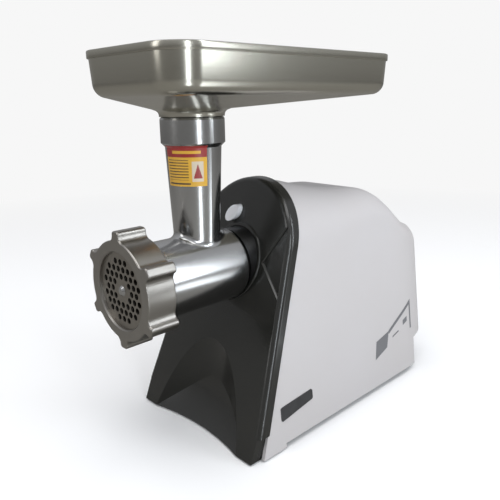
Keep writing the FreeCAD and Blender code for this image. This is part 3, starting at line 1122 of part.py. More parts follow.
def switch_panel():
    inside = housing_body(0.6)
    frame = panel_opening(0.2, PANEL_BACK).common(inside)
    pocket = panel_opening(2.2, PANEL_X)
    lip = block(PANEL_BACK - 0.01, PANEL_BACK + 2, PANEL_Y - 3, PANEL_Y + PANEL_LENGTH + 3, PANEL_Z - 3,
                PANEL_Z + PANEL_HEIGHT + 3).common(housing_body(WALL + 0.1))
    body = frame.cut(pocket).fuse(lip)
    holes = []
    for y in ROCKER_PLACES:
        holes.append(block(-90, -50, y - ROCKER_HALF - 1.2, y + ROCKER_HALF + 1.2,
                           ROCKER_Z - ROCKER_HALF_HEIGHT - GAP, ROCKER_Z + ROCKER_HALF_HEIGHT + GAP))
        holes.append(rod_z(1.0 + RUN, ROCKER_Z - ROCKER_HALF_HEIGHT - 2.5,
                           ROCKER_Z + ROCKER_HALF_HEIGHT + 2.5, PIVOT_X, y))
    holes.append(rod_x(RESET_RADIUS + GAP, -90, -50, RESET_Y, ROCKER_Z))
    return body.cut(holes)


def rocker(y):
    """Rocker with its ends proud, tilted to its rest side, on two small pivots."""
    outline = [(1.0, -ROCKER_HALF), (-4.6, -ROCKER_HALF), (-3.4, 0), (-4.6, ROCKER_HALF),
               (1.0, ROCKER_HALF), (3.2, 0)]
    low = ROCKER_Z - ROCKER_HALF_HEIGHT
    face = polygon([(PIVOT_X + x, y + along, low) for x, along in outline])
    body = face.extrude(Vector(0, 0, 2 * ROCKER_HALF_HEIGHT))
    body = body.fuse(rod_z(1.0, low - 2, low + 2 * ROCKER_HALF_HEIGHT + 2, PIVOT_X, y)).removeSplitter()
    body.rotate(Vector(PIVOT_X, y, 0), Vector(0, 0, 1), -ROCKER_TILT)
    return body


def switch_body(y):
    front = PANEL_BACK + 2 + GAP
    shell = block(front, front + 16, y - ROCKER_HALF - 2, y + ROCKER_HALF + 2, ROCKER_Z - 8, ROCKER_Z + 8)
    well = block(front - 1, front + 4, y - ROCKER_HALF, y + ROCKER_HALF, ROCKER_Z - 6.5, ROCKER_Z + 6.5)
    tabs = [block(front + 15, front + 21, y + along - 2.4, y + along + 2.4, ROCKER_Z - 0.4, ROCKER_Z + 0.4)
            for along in (-6, 0, 6)]
    return shell.cut(well).fuse(tabs)


def reset_button():
    return union([rod_x(RESET_RADIUS, PANEL_X - 2.5, PANEL_BACK + 3.5, RESET_Y, ROCKER_Z),
                  rod_x(RESET_RADIUS + 1.5, PANEL_BACK + 2 + GAP, PANEL_BACK + 3.5, RESET_Y, ROCKER_Z)])


def thermal_breaker():
    front = PANEL_BACK + 3.5 + RESET_TRAVEL + GAP
    return block(front, front + 16, RESET_Y - 8, RESET_Y + 8, ROCKER_Z - 10, ROCKER_Z + 10)


def control_board():
    return block(BOARD_X, BOARD_X + 1.6, BOARD_Y, BOARD_Y + BOARD_LENGTH, BASE_HIGH + 1,
                 BASE_HIGH + 1 + BOARD_HEIGHT)


def board_components():
    inner = BOARD_X
    z = BASE_HIGH + 1
    parts = [block(inner - 7, inner, BOARD_Y + 5, BOARD_Y + 20, z + 5, z + 17),
             block(inner - 6, inner, BOARD_Y + 26, BOARD_Y + 44, z + 6, z + 14),
             rod_x(4.0, inner - 8, inner, BOARD_Y + 52, z + 10)]
    parts += [rod_x(1.5, inner - 4, inner, BOARD_Y + 8 + 7 * i, z + BOARD_HEIGHT - 3.5) for i in range(7)]
    return group(parts)


def board_bracket():
    edge = 2.0
    foot = block(BOARD_X - 4, BOARD_X + 6, BOARD_Y + 2, BOARD_Y + BOARD_LENGTH - 2, BASE_HIGH,
                 BASE_HIGH + 4)
    return foot.cut(block(BOARD_X, BOARD_X + 1.6, BOARD_Y - edge, BOARD_Y + BOARD_LENGTH + edge,
                          BASE_HIGH + 1, BASE_HIGH + 9))


def terminal_block():
    x, y = FIELD_RADIUS + 6, MOTOR_REAR_Y - 32
    body = block(x - 4.5, x + 4.5, y, y + 30, BASE_HIGH, BASE_HIGH + 12)
    wells = [rod_z(2.2, BASE_HIGH + 6, BASE_HIGH + 13, x, y + 5 + 10 * i) for i in range(3)]
    return body.cut(wells)


# ---- lock button -----------------------------------------------------------------------------
ARM_Y, ARM_THICKNESS = SPIGOT_REAR_Y + 10.0, 3.0
STEM_RADIUS = 3.0


def lock_button():
    x, z = pin_place()
    front = FACE_Y + FACE_LEAN * BUTTON_Z - BUTTON_PROUD
    cap = button_cap(0, front - 6, front + 11).common(leaning_slab(FACE_Y - BUTTON_PROUD, FACE_Y + 6))
    stem = rod_y(STEM_RADIUS, front + 5, ARM_Y + 1, BUTTON_X, BUTTON_Z)
    reach = math.hypot(BUTTON_X - x, BUTTON_Z - z)
    arm = block(-2.5, 2.5, ARM_Y, ARM_Y + ARM_THICKNESS, -1.2, reach + STEM_RADIUS)
    arm.rotate(Vector(0, 0, 0), Vector(0, 1, 0), math.degrees(math.atan2(BUTTON_X - x, BUTTON_Z - z)))
    arm.translate(Vector(x, 0, z))
    pin = rod_y(LOCK_PIN_RADIUS, BARREL_REAR_Y - 2, ARM_Y + 1, x, z)
    return union([cap, stem, arm, pin])


def lock_spring():
    start, end = ARM_Y + ARM_THICKNESS + 0.05, CASE_FRONT_Y - 0.05
    wire_radius = 0.35
    coil = Part.makeHelix((end - start - 2 * wire_radius) / 4, end - start - 2 * wire_radius, 2.6)
    ring = Part.Wire([Part.makeCircle(wire_radius, Vector(2.6, 0, 0), Vector(0, 1, 0))])
    spring = coil.makePipeShell([ring], True, True)
    spring.rotate(Vector(0, 0, 0), Vector(1, 0, 0), -90)
    spring.translate(Vector(BUTTON_X, start + wire_radius, BUTTON_Z))
    return spring


# ---- writing the nodes -----------------------------------------------------------------------
def export(name, shape):
    shape = shape.copy()
    shape.translate(Vector(0, ORIGIN_SHIFT, 0))
    shape.exportStep("parts/" + name + ".step")


def main():
    os.makedirs("parts", exist_ok=True)
    wall_shell = housing_shell()
    housing = main_housing(wall_shell)
    case = gearbox_case()
    holders, brushes, springs = brush_parts()
    nodes = {
        "front_fascia": front_fascia(), "main_housing": housing, "rear_vent": rear_vent(wall_shell),
        "base_plate": base_plate(), "rubber_feet": rubber_feet(),
        "base_screws": group(base_screws().Solids + leg_screws().Solids),
        "fascia_screws": fascia_screws(), "cord_gland": cord_gland(housing),
        "gearbox_case": case, "gearbox_cover": gearbox_cover(),
        "gearbox_screws": group(gearbox_screws().Solids + socket_screws().Solids),
        "head_socket": head_socket(),
        "output_bush": output_bush(), "shaft_bushes": shaft_bushes(),
        "output_shaft": output_shaft(), "output_gear": output_gear(), "output_clip": output_clip(),
        "slow_layshaft": layshaft(SECOND_SHAFT_X, SECOND_SHAFT_Z), "slow_pinion": second_pinion(),
        "slow_gear": second_gear(), "fast_layshaft": layshaft(FIRST_SHAFT_X, FIRST_SHAFT_Z),
        "fast_pinion": first_pinion(), "fast_gear": first_gear(), "motor_pinion": motor_pinion(),
        "motor_shaft": motor_shaft(), "armature_core": armature_core(),
        "armature_windings": armature_windings(), "commutator": commutator(),
        "cooling_fan": cooling_fan(), "fan_shroud": fan_shroud(), "motor_bearings": motor_bearings(),
        "field_core": field_core(), "field_windings": field_windings(), "motor_bolts": motor_bolts(),
        "motor_bracket": motor_bracket(), "brush_holders": holders, "carbon_brushes": brushes,
        "brush_springs": springs, "switch_panel": switch_panel(),
        "power_rocker": rocker(ROCKER_PLACES[0]), "reverse_rocker": rocker(ROCKER_PLACES[1]),
        "power_switch": switch_body(ROCKER_PLACES[0]), "reverse_switch": switch_body(ROCKER_PLACES[1]),
        "reset_button": reset_button(), "thermal_breaker": thermal_breaker(),
        "control_board": control_board(), "board_components": board_components(),
        "board_bracket": board_bracket(), "terminal_block": terminal_block(),
        "lock_button": lock_button(), "lock_spring": lock_spring(),
        "grinder_head": grinder_head(), "plate_key": plate_key(), "auger_bush": auger_bush(),
        "auger": auger(), "auger_washer": auger_washer(), "cutting_blade": cutting_blade(),
        "grinding_plate": grinding_plate(), "ring_nut": ring_nut(),
    }
    nodes["hopper_tray"] = hopper_tray()
    for name, shape in nodes.items():
        export(name, shape)


main()
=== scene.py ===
import bmesh
import bpy
import json
import math
from mathutils import Matrix, Vector


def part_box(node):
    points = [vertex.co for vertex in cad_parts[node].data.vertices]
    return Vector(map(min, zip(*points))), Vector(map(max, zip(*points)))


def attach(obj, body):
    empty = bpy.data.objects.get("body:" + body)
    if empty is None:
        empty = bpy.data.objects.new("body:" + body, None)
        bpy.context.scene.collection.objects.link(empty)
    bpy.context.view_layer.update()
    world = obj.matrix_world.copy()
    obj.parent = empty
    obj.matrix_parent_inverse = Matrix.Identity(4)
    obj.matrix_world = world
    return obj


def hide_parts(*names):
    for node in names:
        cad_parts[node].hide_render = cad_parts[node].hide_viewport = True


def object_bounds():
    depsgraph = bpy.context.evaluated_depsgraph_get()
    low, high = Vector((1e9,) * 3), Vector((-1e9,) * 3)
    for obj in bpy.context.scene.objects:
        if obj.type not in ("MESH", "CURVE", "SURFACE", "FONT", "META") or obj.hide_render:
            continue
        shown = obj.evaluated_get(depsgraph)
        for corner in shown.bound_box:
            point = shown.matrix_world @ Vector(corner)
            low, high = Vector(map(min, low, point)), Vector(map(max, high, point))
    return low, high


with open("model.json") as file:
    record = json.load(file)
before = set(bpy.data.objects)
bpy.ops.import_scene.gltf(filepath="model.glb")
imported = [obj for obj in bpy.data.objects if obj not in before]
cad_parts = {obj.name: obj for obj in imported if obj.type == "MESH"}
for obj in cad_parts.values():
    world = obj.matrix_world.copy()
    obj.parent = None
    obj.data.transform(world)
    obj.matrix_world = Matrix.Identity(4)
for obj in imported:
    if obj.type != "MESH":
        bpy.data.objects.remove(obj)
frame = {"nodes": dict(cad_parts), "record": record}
cad_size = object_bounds()
nodes = frame["nodes"]


# ---- Base plate, vent, panel frame and switch bodies -----------------------------------------
# Black polypropylene mouldings with a fine spark-eroded skin: the floor of the casing, the rear
# vent, the switch surround, and the cord gland and brackets inside. They snap or screw in place.
def effect(name, inputs, outputs):
    """An empty shader node group; a socket's kind follows the value that it is given."""
    group = bpy.data.node_groups.new(name, "ShaderNodeTree")
    kinds = {float: "NodeSocketFloat", Vector: "NodeSocketVector", tuple: "NodeSocketColor"}
    for label, value in inputs.items():
        socket = group.interface.new_socket(label, in_out="INPUT", socket_type=kinds[type(value)])
        socket.default_value = value
    for label, kind in outputs.items():
        group.interface.new_socket(label, in_out="OUTPUT", socket_type=kinds[kind])
    return group, group.nodes.new("NodeGroupInput"), group.nodes.new("NodeGroupOutput")


def add(tree, kind, settings=(), **inputs):
    """One node with its settings and inputs; an input is a value or another node's output."""
    node = tree.nodes.new(kind)
    for label, value in dict(settings).items():
        setattr(node, label, value)
    for label, value in inputs.items():
        socket = node.inputs[int(label[1:])] if label[1:].isdigit() else node.inputs[label]
        if isinstance(value, bpy.types.NodeSocket):
            tree.links.new(value, socket)
        else:
            socket.default_value = value
    return node


def calculate(tree, operation, first, second=0.0, third=0.0):
    node = add(tree, "ShaderNodeMath", {"operation": operation}, _0=first, _1=second, _2=third)
    return node.outputs[0]


def tint(tree, share, first, second):
    """Mixes two colours by share."""
    node = add(tree, "ShaderNodeMix", {"data_type": "RGBA"}, _0=share, _6=first, _7=second)
    return node.outputs[2]


def noise(tree, place, scale, detail=2.0):
    return add(tree, "ShaderNodeTexNoise", Vector=place, Scale=scale, Detail=detail).outputs["Fac"]


def stretched(tree, place, scale):
    return add(tree, "ShaderNodeMapping", {"vector_type": "POINT"}, Vector=place, Scale=scale).outputs[0]


def spread(tree, value, gain):
    """Stretches a noise, which keeps near its middle, about 0.5."""
    return calculate(tree, "MULTIPLY_ADD", value, gain, 0.5 - gain / 2)


def hand_out(group, result, **outputs):
    """Joins values to the outputs of an effect."""
    for label, value in outputs.items():
        group.links.new(value, result.inputs[label])


def moulded_skin():
    """Fine grain with slow changes of gloss and shade, as on an injection moulding."""
    group, given, result = effect(
        "moulded_skin",
        {"Colour": (0.5, 0.5, 0.5, 1.0), "Worn Colour": (0.6, 0.6, 0.6, 1.0), "Roughness": 0.4,
         "Gloss Change": 0.1, "Grain Scale": 1500.0, "Patch Scale": 22.0},
        {"Colour": tuple, "Roughness": float, "Height": float})
    place = group.nodes.new("ShaderNodeTexCoord").outputs["Object"]
    grain = noise(group, place, given.outputs["Grain Scale"], 3.0)
    patch = noise(group, place, given.outputs["Patch Scale"], 5.0)
    swing = spread(group, patch, 1.4)
    colour = tint(group, swing, given.outputs["Colour"], given.outputs["Worn Colour"])
    change = calculate(group, "MULTIPLY", swing, given.outputs["Gloss Change"])
    roughness = calculate(group, "ADD", given.outputs["Roughness"], change)
    hand_out(group, result, Colour=colour, Roughness=roughness, Height=grain)
    return group


MOULDED = moulded_skin()
COAT_ROUGHNESS = 0.08


def coated(name, group, bump, metallic=0.0, coat=0.0, **inputs):
    """A material whose colour, gloss and relief come from one effect group."""
    material = bpy.data.materials.new(name)
    material.use_nodes = True
    tree = material.node_tree
    shader = tree.nodes["Principled BSDF"]
    shader.inputs["Metallic"].default_value = metallic
    shader.inputs["Coat Weight"].default_value = coat
    shader.inputs["Coat Roughness"].default_value = COAT_ROUGHNESS
    skin = add(tree, "ShaderNodeGroup", {"node_tree": group})
    for label, value in inputs.items():
        skin.inputs[label.replace("_", " ")].default_value = value
    relief = add(tree, "ShaderNodeBump", Height=skin.outputs["Height"], Strength=1.0, Distance=bump)
    tree.links.new(skin.outputs["Colour"], shader.inputs["Base Color"])
    tree.links.new(skin.outputs["Roughness"], shader.inputs["Roughness"])
    tree.links.new(relief.outputs["Normal"], shader.inputs["Normal"])
    return material


def dress(material, *names):
    """Gives CAD nodes their finish."""
    for name in names:
        for slot in nodes[name].material_slots:
            slot.material = material


black_moulding = coated("black_moulding", MOULDED, 0.00006, Colour=(0.018, 0.018, 0.019, 1.0),
                        Worn_Colour=(0.03, 0.03, 0.031, 1.0), Roughness=0.46, Gloss_Change=0.12)
dress(black_moulding, "base_plate", "rear_vent", "switch_panel", "cord_gland", "power_switch",
      "reverse_switch", "thermal_breaker", "fan_shroud", "board_bracket", "board_components")

# ---- Rubber feet -----------------------------------------------------------------------------
# Four soft black pads, pushed by their stems into holes in the base plate. The skin is dull, with
# pale dust in its pores.
foot_rubber = coated("foot_rubber", MOULDED, 0.00012, Colour=(0.012, 0.012, 0.012, 1.0),
                     Worn_Colour=(0.045, 0.043, 0.04, 1.0), Roughness=0.72, Gloss_Change=0.15,
                     Grain_Scale=900.0, Patch_Scale=120.0)
dress(foot_rubber, "rubber_feet")


# ---- Screws and machined steel inside --------------------------------------------------------
# Zinc plated self-tapping screws hold the casing, gearbox and motor. Shafts, steel gears, springs
# and bearings are machined or ground, so their marks run round their own length.
def lined_metal():
    """Fine parallel lines, a faint mottling, and patches that are a little duller."""
    group, given, result = effect(
        "lined_metal",
        {"Colour": (0.5, 0.5, 0.5, 1.0), "Dull Colour": (0.4, 0.4, 0.4, 1.0), "Roughness": 0.3,
         "Gloss Change": 0.1, "Lines": Vector((900.0, 40.0, 900.0)), "Line Share": 0.45,
         "Patch Scale": 18.0},
        {"Colour": tuple, "Roughness": float, "Height": float})
    place = group.nodes.new("ShaderNodeTexCoord").outputs["Object"]
    lines = noise(group, stretched(group, place, given.outputs["Lines"]), 1.0, 3.0)
    patch = noise(group, place, given.outputs["Patch Scale"], 4.0)
    share = given.outputs["Line Share"]
    patches = calculate(group, "MULTIPLY", patch, calculate(group, "SUBTRACT", 1.0, share))
    mixed = calculate(group, "MULTIPLY_ADD", lines, share, patches)
    swing = spread(group, mixed, 1.8)
    change = calculate(group, "MULTIPLY", swing, given.outputs["Gloss Change"])
    colour = tint(group, swing, given.outputs["Colour"], given.outputs["Dull Colour"])
    roughness = calculate(group, "ADD", given.outputs["Roughness"], change)
    hand_out(group, result, Colour=colour, Roughness=roughness, Height=lines)
    return group


LINED = lined_metal()
zinc_plate = coated("zinc_plate", LINED, 0.00002, metallic=1.0, Colour=(0.62, 0.64, 0.66, 1.0),
                    Dull_Colour=(0.45, 0.47, 0.47, 1.0), Roughness=0.28, Gloss_Change=0.2,
                    Lines=Vector((700.0, 700.0, 200.0)), Patch_Scale=160.0)
dress(zinc_plate, "base_screws", "fascia_screws", "gearbox_screws", "motor_bolts")
machined_steel = coated("machined_steel", LINED, 0.00003, metallic=1.0, Colour=(0.5, 0.5, 0.51, 1.0),
                        Dull_Colour=(0.34, 0.34, 0.34, 1.0), Roughness=0.26, Gloss_Change=0.18,
                        Lines=Vector((60.0, 1800.0, 60.0)), Patch_Scale=60.0)
dress(machined_steel, "output_shaft", "output_gear", "output_clip", "slow_layshaft", "slow_pinion",
      "slow_gear", "fast_layshaft", "fast_pinion", "motor_pinion", "motor_shaft", "motor_bearings",
      "brush_springs", "lock_spring", "plate_key")

# ---- Gearbox, motor and wiring ---------------------------------------------------------------
# Die cast alloy case and brackets, sintered bronze bushes, a nylon gear and fan, a varnished
# lamination stack with enamelled copper coils, carbon brushes and a green control board.
die_cast = coated("die_cast", MOULDED, 0.0002, metallic=0.9, Colour=(0.42, 0.43, 0.44, 1.0),
                  Worn_Colour=(0.32, 0.33, 0.34, 1.0), Roughness=0.42, Gloss_Change=0.2,
                  Grain_Scale=600.0, Patch_Scale=60.0)
dress(die_cast, "gearbox_case", "gearbox_cover", "motor_bracket")
bronze = coated("bronze", MOULDED, 0.00004, metallic=1.0, Colour=(0.46, 0.27, 0.11, 1.0),
                Worn_Colour=(0.3, 0.18, 0.08, 1.0), Roughness=0.36, Gloss_Change=0.16,
                Grain_Scale=2200.0, Patch_Scale=90.0)
dress(bronze, "output_bush", "shaft_bushes", "auger_bush", "brush_holders")
nylon = coated("nylon", MOULDED, 0.00003, Colour=(0.74, 0.71, 0.62, 1.0),
               Worn_Colour=(0.63, 0.59, 0.49, 1.0), Roughness=0.38, Gloss_Change=0.1)
dress(nylon, "fast_gear", "cooling_fan", "terminal_block", "auger_washer")
laminations = coated("laminations", LINED, 0.00025, metallic=0.7, Colour=(0.2, 0.21, 0.24, 1.0),
                     Dull_Colour=(0.1, 0.1, 0.12, 1.0), Roughness=0.4, Gloss_Change=0.2,
                     Lines=Vector((8.0, 2000.0, 8.0)))
dress(laminations, "armature_core", "field_core")
enamelled_copper = coated("enamelled_copper", LINED, 0.0002, metallic=0.9,
                          Colour=(0.55, 0.2, 0.07, 1.0), Dull_Colour=(0.3, 0.1, 0.04, 1.0),
                          Roughness=0.3, Gloss_Change=0.15, Lines=Vector((1200.0, 60.0, 1200.0)))
dress(enamelled_copper, "armature_windings", "field_windings", "commutator")
pressed_carbon = coated("pressed_carbon", MOULDED, 0.00008, Colour=(0.02, 0.02, 0.022, 1.0),
                        Worn_Colour=(0.05, 0.05, 0.052, 1.0), Roughness=0.55, Gloss_Change=0.15)
dress(pressed_carbon, "carbon_brushes")
solder_mask = coated("solder_mask", MOULDED, 0.00004, Colour=(0.02, 0.14, 0.045, 1.0),
                     Worn_Colour=(0.03, 0.19, 0.06, 1.0), Roughness=0.28, Gloss_Change=0.1,
                     Patch_Scale=240.0)
dress(solder_mask, "control_board")

# ---- Main housing ----------------------------------------------------------------------------
# One light grey ABS shell behind the fascia, with a fine satin texture that hides finger marks.
# It is screwed to the base plate and to the fascia from inside.
satin_shell = coated("satin_shell", MOULDED, 0.00003, Colour=(0.555, 0.535, 0.54, 1.0),
                     Worn_Colour=(0.53, 0.505, 0.495, 1.0), Roughness=0.36, Gloss_Change=0.08,
                     Grain_Scale=1900.0, Patch_Scale=9.0)
dress(satin_shell, "main_housing")

# ---- Front fascia ----------------------------------------------------------------------------
# Charcoal ABS with a semi-gloss skin. It leans back, has an upright recess that a bowl slides
# into, and carries the socket for the head.
charcoal_gloss = coated("charcoal_gloss", MOULDED, 0.000008, coat=0.2, Colour=(0.012, 0.0122, 0.0105, 1.0),
                        Worn_Colour=(0.017, 0.0168, 0.0145, 1.0), Roughness=0.2, Gloss_Change=0.08,
                        Grain_Scale=1300.0, Patch_Scale=16.0)
dress(charcoal_gloss, "front_fascia")

# ---- Head socket -----------------------------------------------------------------------------
# A dark turned steel sleeve behind the fascia that the head's spigot plugs into.
socket_steel = coated("socket_steel", LINED, 0.00003, metallic=1.0, Colour=(0.1, 0.1, 0.1, 1.0),
                      Dull_Colour=(0.05, 0.05, 0.05, 1.0), Roughness=0.32, Gloss_Change=0.15,
                      Lines=Vector((60.0, 1600.0, 60.0)))
dress(socket_steel, "head_socket")

# ---- Lock button, rockers and reset button ---------------------------------------------------
# Gloss ABS pieces: a white oval button that frees the head, two black rocker switches, and a
# white reset button beside them.
white_gloss = coated("white_gloss", MOULDED, 0.00001, coat=0.5, Colour=(0.9, 0.91, 0.94, 1.0),
                     Worn_Colour=(0.86, 0.86, 0.88, 1.0), Roughness=0.2, Gloss_Change=0.08)
dress(white_gloss, "lock_button", "reset_button")
rocker_gloss = coated("rocker_gloss", MOULDED, 0.00001, coat=0.4, Colour=(0.02, 0.02, 0.021, 1.0),
                      Worn_Colour=(0.032, 0.032, 0.033, 1.0), Roughness=0.22, Gloss_Change=0.08)
dress(rocker_gloss, "power_rocker", "reverse_rocker")
printed_white = coated("printed_white", MOULDED, 0.000002, Colour=(0.8, 0.8, 0.8, 1.0),
                       Worn_Colour=(0.7, 0.7, 0.7, 1.0), Roughness=0.4)
MARK_REACH = 0.0021       # half the length of the bar, and the radius of the ring, on a rocker
MARK_LINE = 0.0006
MARK_PROUD = 0.00006
RING_STEPS, BAR_STEPS = 28, 6
OUTSIDE = 0.01            # how far outside a surface a print starts, before it is dropped on to it


def grow(shape, edges, place):
    """Extrudes a closed line of edges, and puts each new point where place says."""
    made = bmesh.ops.extrude_edge_only(shape, edges=edges)["geom"]
    for point in made:
        if isinstance(point, bmesh.types.BMVert):
            point.co = place(point.co)
    return [edge for edge in made if isinstance(edge, bmesh.types.BMEdge)]


def lay_on(shape, node, toward, lift):
    """Drops every point along toward(point) on to a CAD node, and holds it a little off."""
    surface = nodes[node]
    for point in shape.verts:
        direction = toward(point.co).normalized()
        hit, spot, _, _ = surface.ray_cast(point.co, direction)
        if hit:
            point.co = spot - direction * lift


def finished(name, shape, materials, sharp=35.0):
    """Makes a bmesh an object, smooth except where faces meet at more than an angle."""
    bmesh.ops.remove_doubles(shape, verts=shape.verts, dist=0.000002)
    bmesh.ops.recalc_face_normals(shape, faces=shape.faces)
    mesh = bpy.data.meshes.new(name)
    shape.to_mesh(mesh)
    shape.free()
    for material in materials:
        mesh.materials.append(material)
    mesh.shade_smooth()
    mesh.set_sharp_from_angle(angle=math.radians(sharp))
    piece = bpy.data.objects.new(name, mesh)
    bpy.context.scene.collection.objects.link(piece)
    return piece


for rocker in ("power_rocker", "reverse_rocker"):
    rocker_low, rocker_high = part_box(rocker)
    centre = (rocker_low + rocker_high) / 2
    quarter = (rocker_high.y - rocker_low.y) / 4
    ring = bmesh.new()
    bmesh.ops.create_circle(ring, segments=RING_STEPS, radius=MARK_REACH)
    grow(ring, ring.edges[:], lambda co: co * (1 - MARK_LINE / MARK_REACH))
    bar = bmesh.new()
    bmesh.ops.create_grid(bar, x_segments=1, y_segments=BAR_STEPS, size=1.0)
    bmesh.ops.scale(bar, vec=(MARK_LINE / 2, MARK_REACH, 1.0), verts=bar.verts)
    for shape, side, mark in ((bar, -1, "on"), (ring, 1, "off")):
        for point in shape.verts:
            point.co = Vector((rocker_low.x - OUTSIDE, centre.y + side * quarter - point.co.x,
                               centre.z + point.co.y))
        lay_on(shape, rocker, lambda co: Vector((1, 0, 0)), MARK_PROUD)
        sign = finished("%s_%s_mark" % (rocker, mark), shape, [printed_white])
        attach(sign, rocker)

# ---- Head and auger --------------------------------------------------------------------------
# Cast alloy, machined and satin polished outside: a barrel with a tapered feed tube and a collar.
# The auger inside is the same casting, and its knife is ground steel.
satin_casting = coated("satin_casting", LINED, 0.0000008, metallic=1.0, Colour=(0.47, 0.47, 0.47, 1.0),
                       Dull_Colour=(0.4, 0.4, 0.395, 1.0), Roughness=0.17, Gloss_Change=0.07,
                       Lines=Vector((60.0, 900.0, 900.0)), Line_Share=0.12, Patch_Scale=14.0)
dress(satin_casting, "grinder_head", "auger")
ground_steel = coated("ground_steel", LINED, 0.000006, metallic=1.0, Colour=(0.32, 0.3, 0.27, 1.0),
                      Dull_Colour=(0.23, 0.21, 0.185, 1.0), Roughness=0.3, Gloss_Change=0.15,
                      Lines=Vector((1500.0, 50.0, 200.0)), Line_Share=0.3)
dress(ground_steel, "cutting_blade", "grinding_plate")

# ---- Ring nut --------------------------------------------------------------------------------
# A cast ring with six grips round its rim, bead blasted, which screws on the barrel and holds the
# plate. Its edges are well rounded, and a chamfer leads into the opening.
blasted_ring = coated("blasted_ring", MOULDED, 0.00001, metallic=1.0, Colour=(0.35, 0.335, 0.31, 1.0),
                      Worn_Colour=(0.28, 0.265, 0.245, 1.0), Roughness=0.27, Gloss_Change=0.1,
                      Grain_Scale=1500.0, Patch_Scale=40.0)
dress(blasted_ring, "ring_nut")

# ---- Hopper tray -----------------------------------------------------------------------------
# Deep drawn stainless sheet with a rim folded outwards and down, brushed along its walls. A round
# neck is pressed out of its sloping floor and plugs into the collar of the feed tube.
TRAY_CORNER = 0.026
TRAY_SHEET = 0.001
FOLD_HEIGHT = 0.0055
FOLD_PROUD = 0.0013       # how far the folded rim stands outside the wall
WALL_HEIGHT = 0.0225
WALL_DRAW = 0.0024        # how far the wall has leaned in by its foot
FLOOR_ROUND = 0.0104
SLOPE_FALL = 0.0413       # from the rim to the foot of the sloping floor
COLLAR_COVER = 0.0244     # radius of the shoulder that sits on the feed tube's collar
NECK_RADIUS = 0.0208
COLLAR_GAP = 0.0001
SLOPE_FOOT = 0.005        # from the shoulder out to the foot of the sloping floor
SHOULDER_TILT = 0.4       # share of the sheet's thickness that the shoulder's inner face drops by
CREST_INSET = 0.001       # the sheet's crest, where the rim folds over
CORNER_STEPS, BEND_STEPS = 14, 8
BEND_TURN = math.radians(82)
tray_low, tray_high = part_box("hopper_tray")
collar_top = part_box("grinder_head")[1].z
feed_bore = next(mount for mount in frame["record"]["mounts"] if mount["name"] == "feed_bore")
feed_axis = Vector(feed_bore["pos_m"]).xy


def corner_of(point):
    """The centre of the tray's rounded corner, or the nearest spot between two of them."""
    reach = tray_high.x - TRAY_CORNER
    return Vector((max(-reach, min(reach, point.x)),
                   max(tray_low.y + TRAY_CORNER, min(tray_high.y - TRAY_CORNER, point.y))))


def on_wall(inset, fall):
    """A line round the tray, at a distance inside the rim and below it."""
    def place(point):
        spot = corner_of(point)
        outward = (point.xy - spot).normalized()
        return (spot + outward * (TRAY_CORNER - inset)).to_3d() + Vector((0, 0, tray_high.z - fall))
    return place


def from_corners(radius, fall):
    """A circle round the feed axis, with each corner of the tray drawn in to its own quarter."""
    def place(point):
        outward = (point.xy - corner_of(point)).normalized()
        return (feed_axis + outward * radius).to_3d() + Vector((0, 0, tray_high.z - fall))
    return place


def on_neck(radius, z):
    def place(point):
        outward = (point.xy - feed_axis).normalized()
        return (feed_axis + outward * radius).to_3d() + Vector((0, 0, z))
    return place


def floor_bend(depth):
    """(inset, fall) round the bend from wall to floor, at a depth behind the outer face."""
    for step in range(BEND_STEPS + 1):
        turn = BEND_TURN * step / BEND_STEPS
        reach = FLOOR_ROUND - depth
        yield WALL_DRAW + FLOOR_ROUND - reach * math.cos(turn), WALL_HEIGHT + reach * math.sin(turn)


brushed_tray = coated("brushed_tray", LINED, 0.000002, metallic=1.0, Colour=(0.49, 0.475, 0.415, 1.0),
                      Dull_Colour=(0.41, 0.395, 0.34, 1.0), Roughness=0.19, Gloss_Change=0.08,
                      Lines=Vector((12.0, 12.0, 1600.0)), Line_Share=0.3, Patch_Scale=7.0)
shape = bmesh.new()
bmesh.ops.create_grid(shape, x_segments=1, y_segments=1, size=1.0)
for corner in shape.verts:
    corner.co = Vector((math.copysign(tray_high.x, corner.co.x),
                        tray_high.y if corner.co.y > 0 else tray_low.y, tray_high.z))
bmesh.ops.bevel(shape, geom=shape.verts[:], affect="VERTICES", offset=TRAY_CORNER,
                segments=CORNER_STEPS, profile=0.5, material=-1)
bmesh.ops.delete(shape, geom=shape.faces[:], context="FACES_ONLY")
crest = shape.edges[:]
for point in shape.verts:
    point.co = on_wall(CREST_INSET, 0.0)(point.co)
# (inset, fall) down the outside of the fold and under its edge, then down the sheet's inner face
fold = [(0.0003, 0.0003), (0.0, 0.0010), (0.0, FOLD_HEIGHT - 0.0005), (0.0002, FOLD_HEIGHT),
        (FOLD_PROUD, FOLD_HEIGHT), (FOLD_PROUD, FOLD_HEIGHT + 0.0004)]
inside = [(FOLD_PROUD + TRAY_SHEET - 0.0003, 0.0002), (FOLD_PROUD + TRAY_SHEET, 0.0009)]
for face, depth in ((fold, 0.0), (inside, TRAY_SHEET)):
    line = crest
    for inset, fall in face + list(floor_bend(depth)):
        line = grow(shape, line, on_wall(inset, fall))
    line = grow(shape, line, from_corners(COLLAR_COVER + SLOPE_FOOT, SLOPE_FALL - depth))
    shoulder = [(0.0020, SLOPE_FALL + 0.0011), (0.0005, SLOPE_FALL + 0.0025), (0.0, SLOPE_FALL + 0.0042)]
    for reach, fall in shoulder:
        height = tray_high.z - fall + depth * SHOULDER_TILT
        line = grow(shape, line, on_neck(COLLAR_COVER + reach - depth, height))
    seat = collar_top + COLLAR_GAP + depth
    for radius, height in ((COLLAR_COVER, seat), (NECK_RADIUS, seat), (NECK_RADIUS, tray_low.z)):
        line = grow(shape, line, on_neck(radius - depth, height))
grow(shape, line, on_neck(NECK_RADIUS, tray_low.z))
tray = finished("brushed_hopper_tray", shape, [brushed_tray])
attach(tray, "tray")
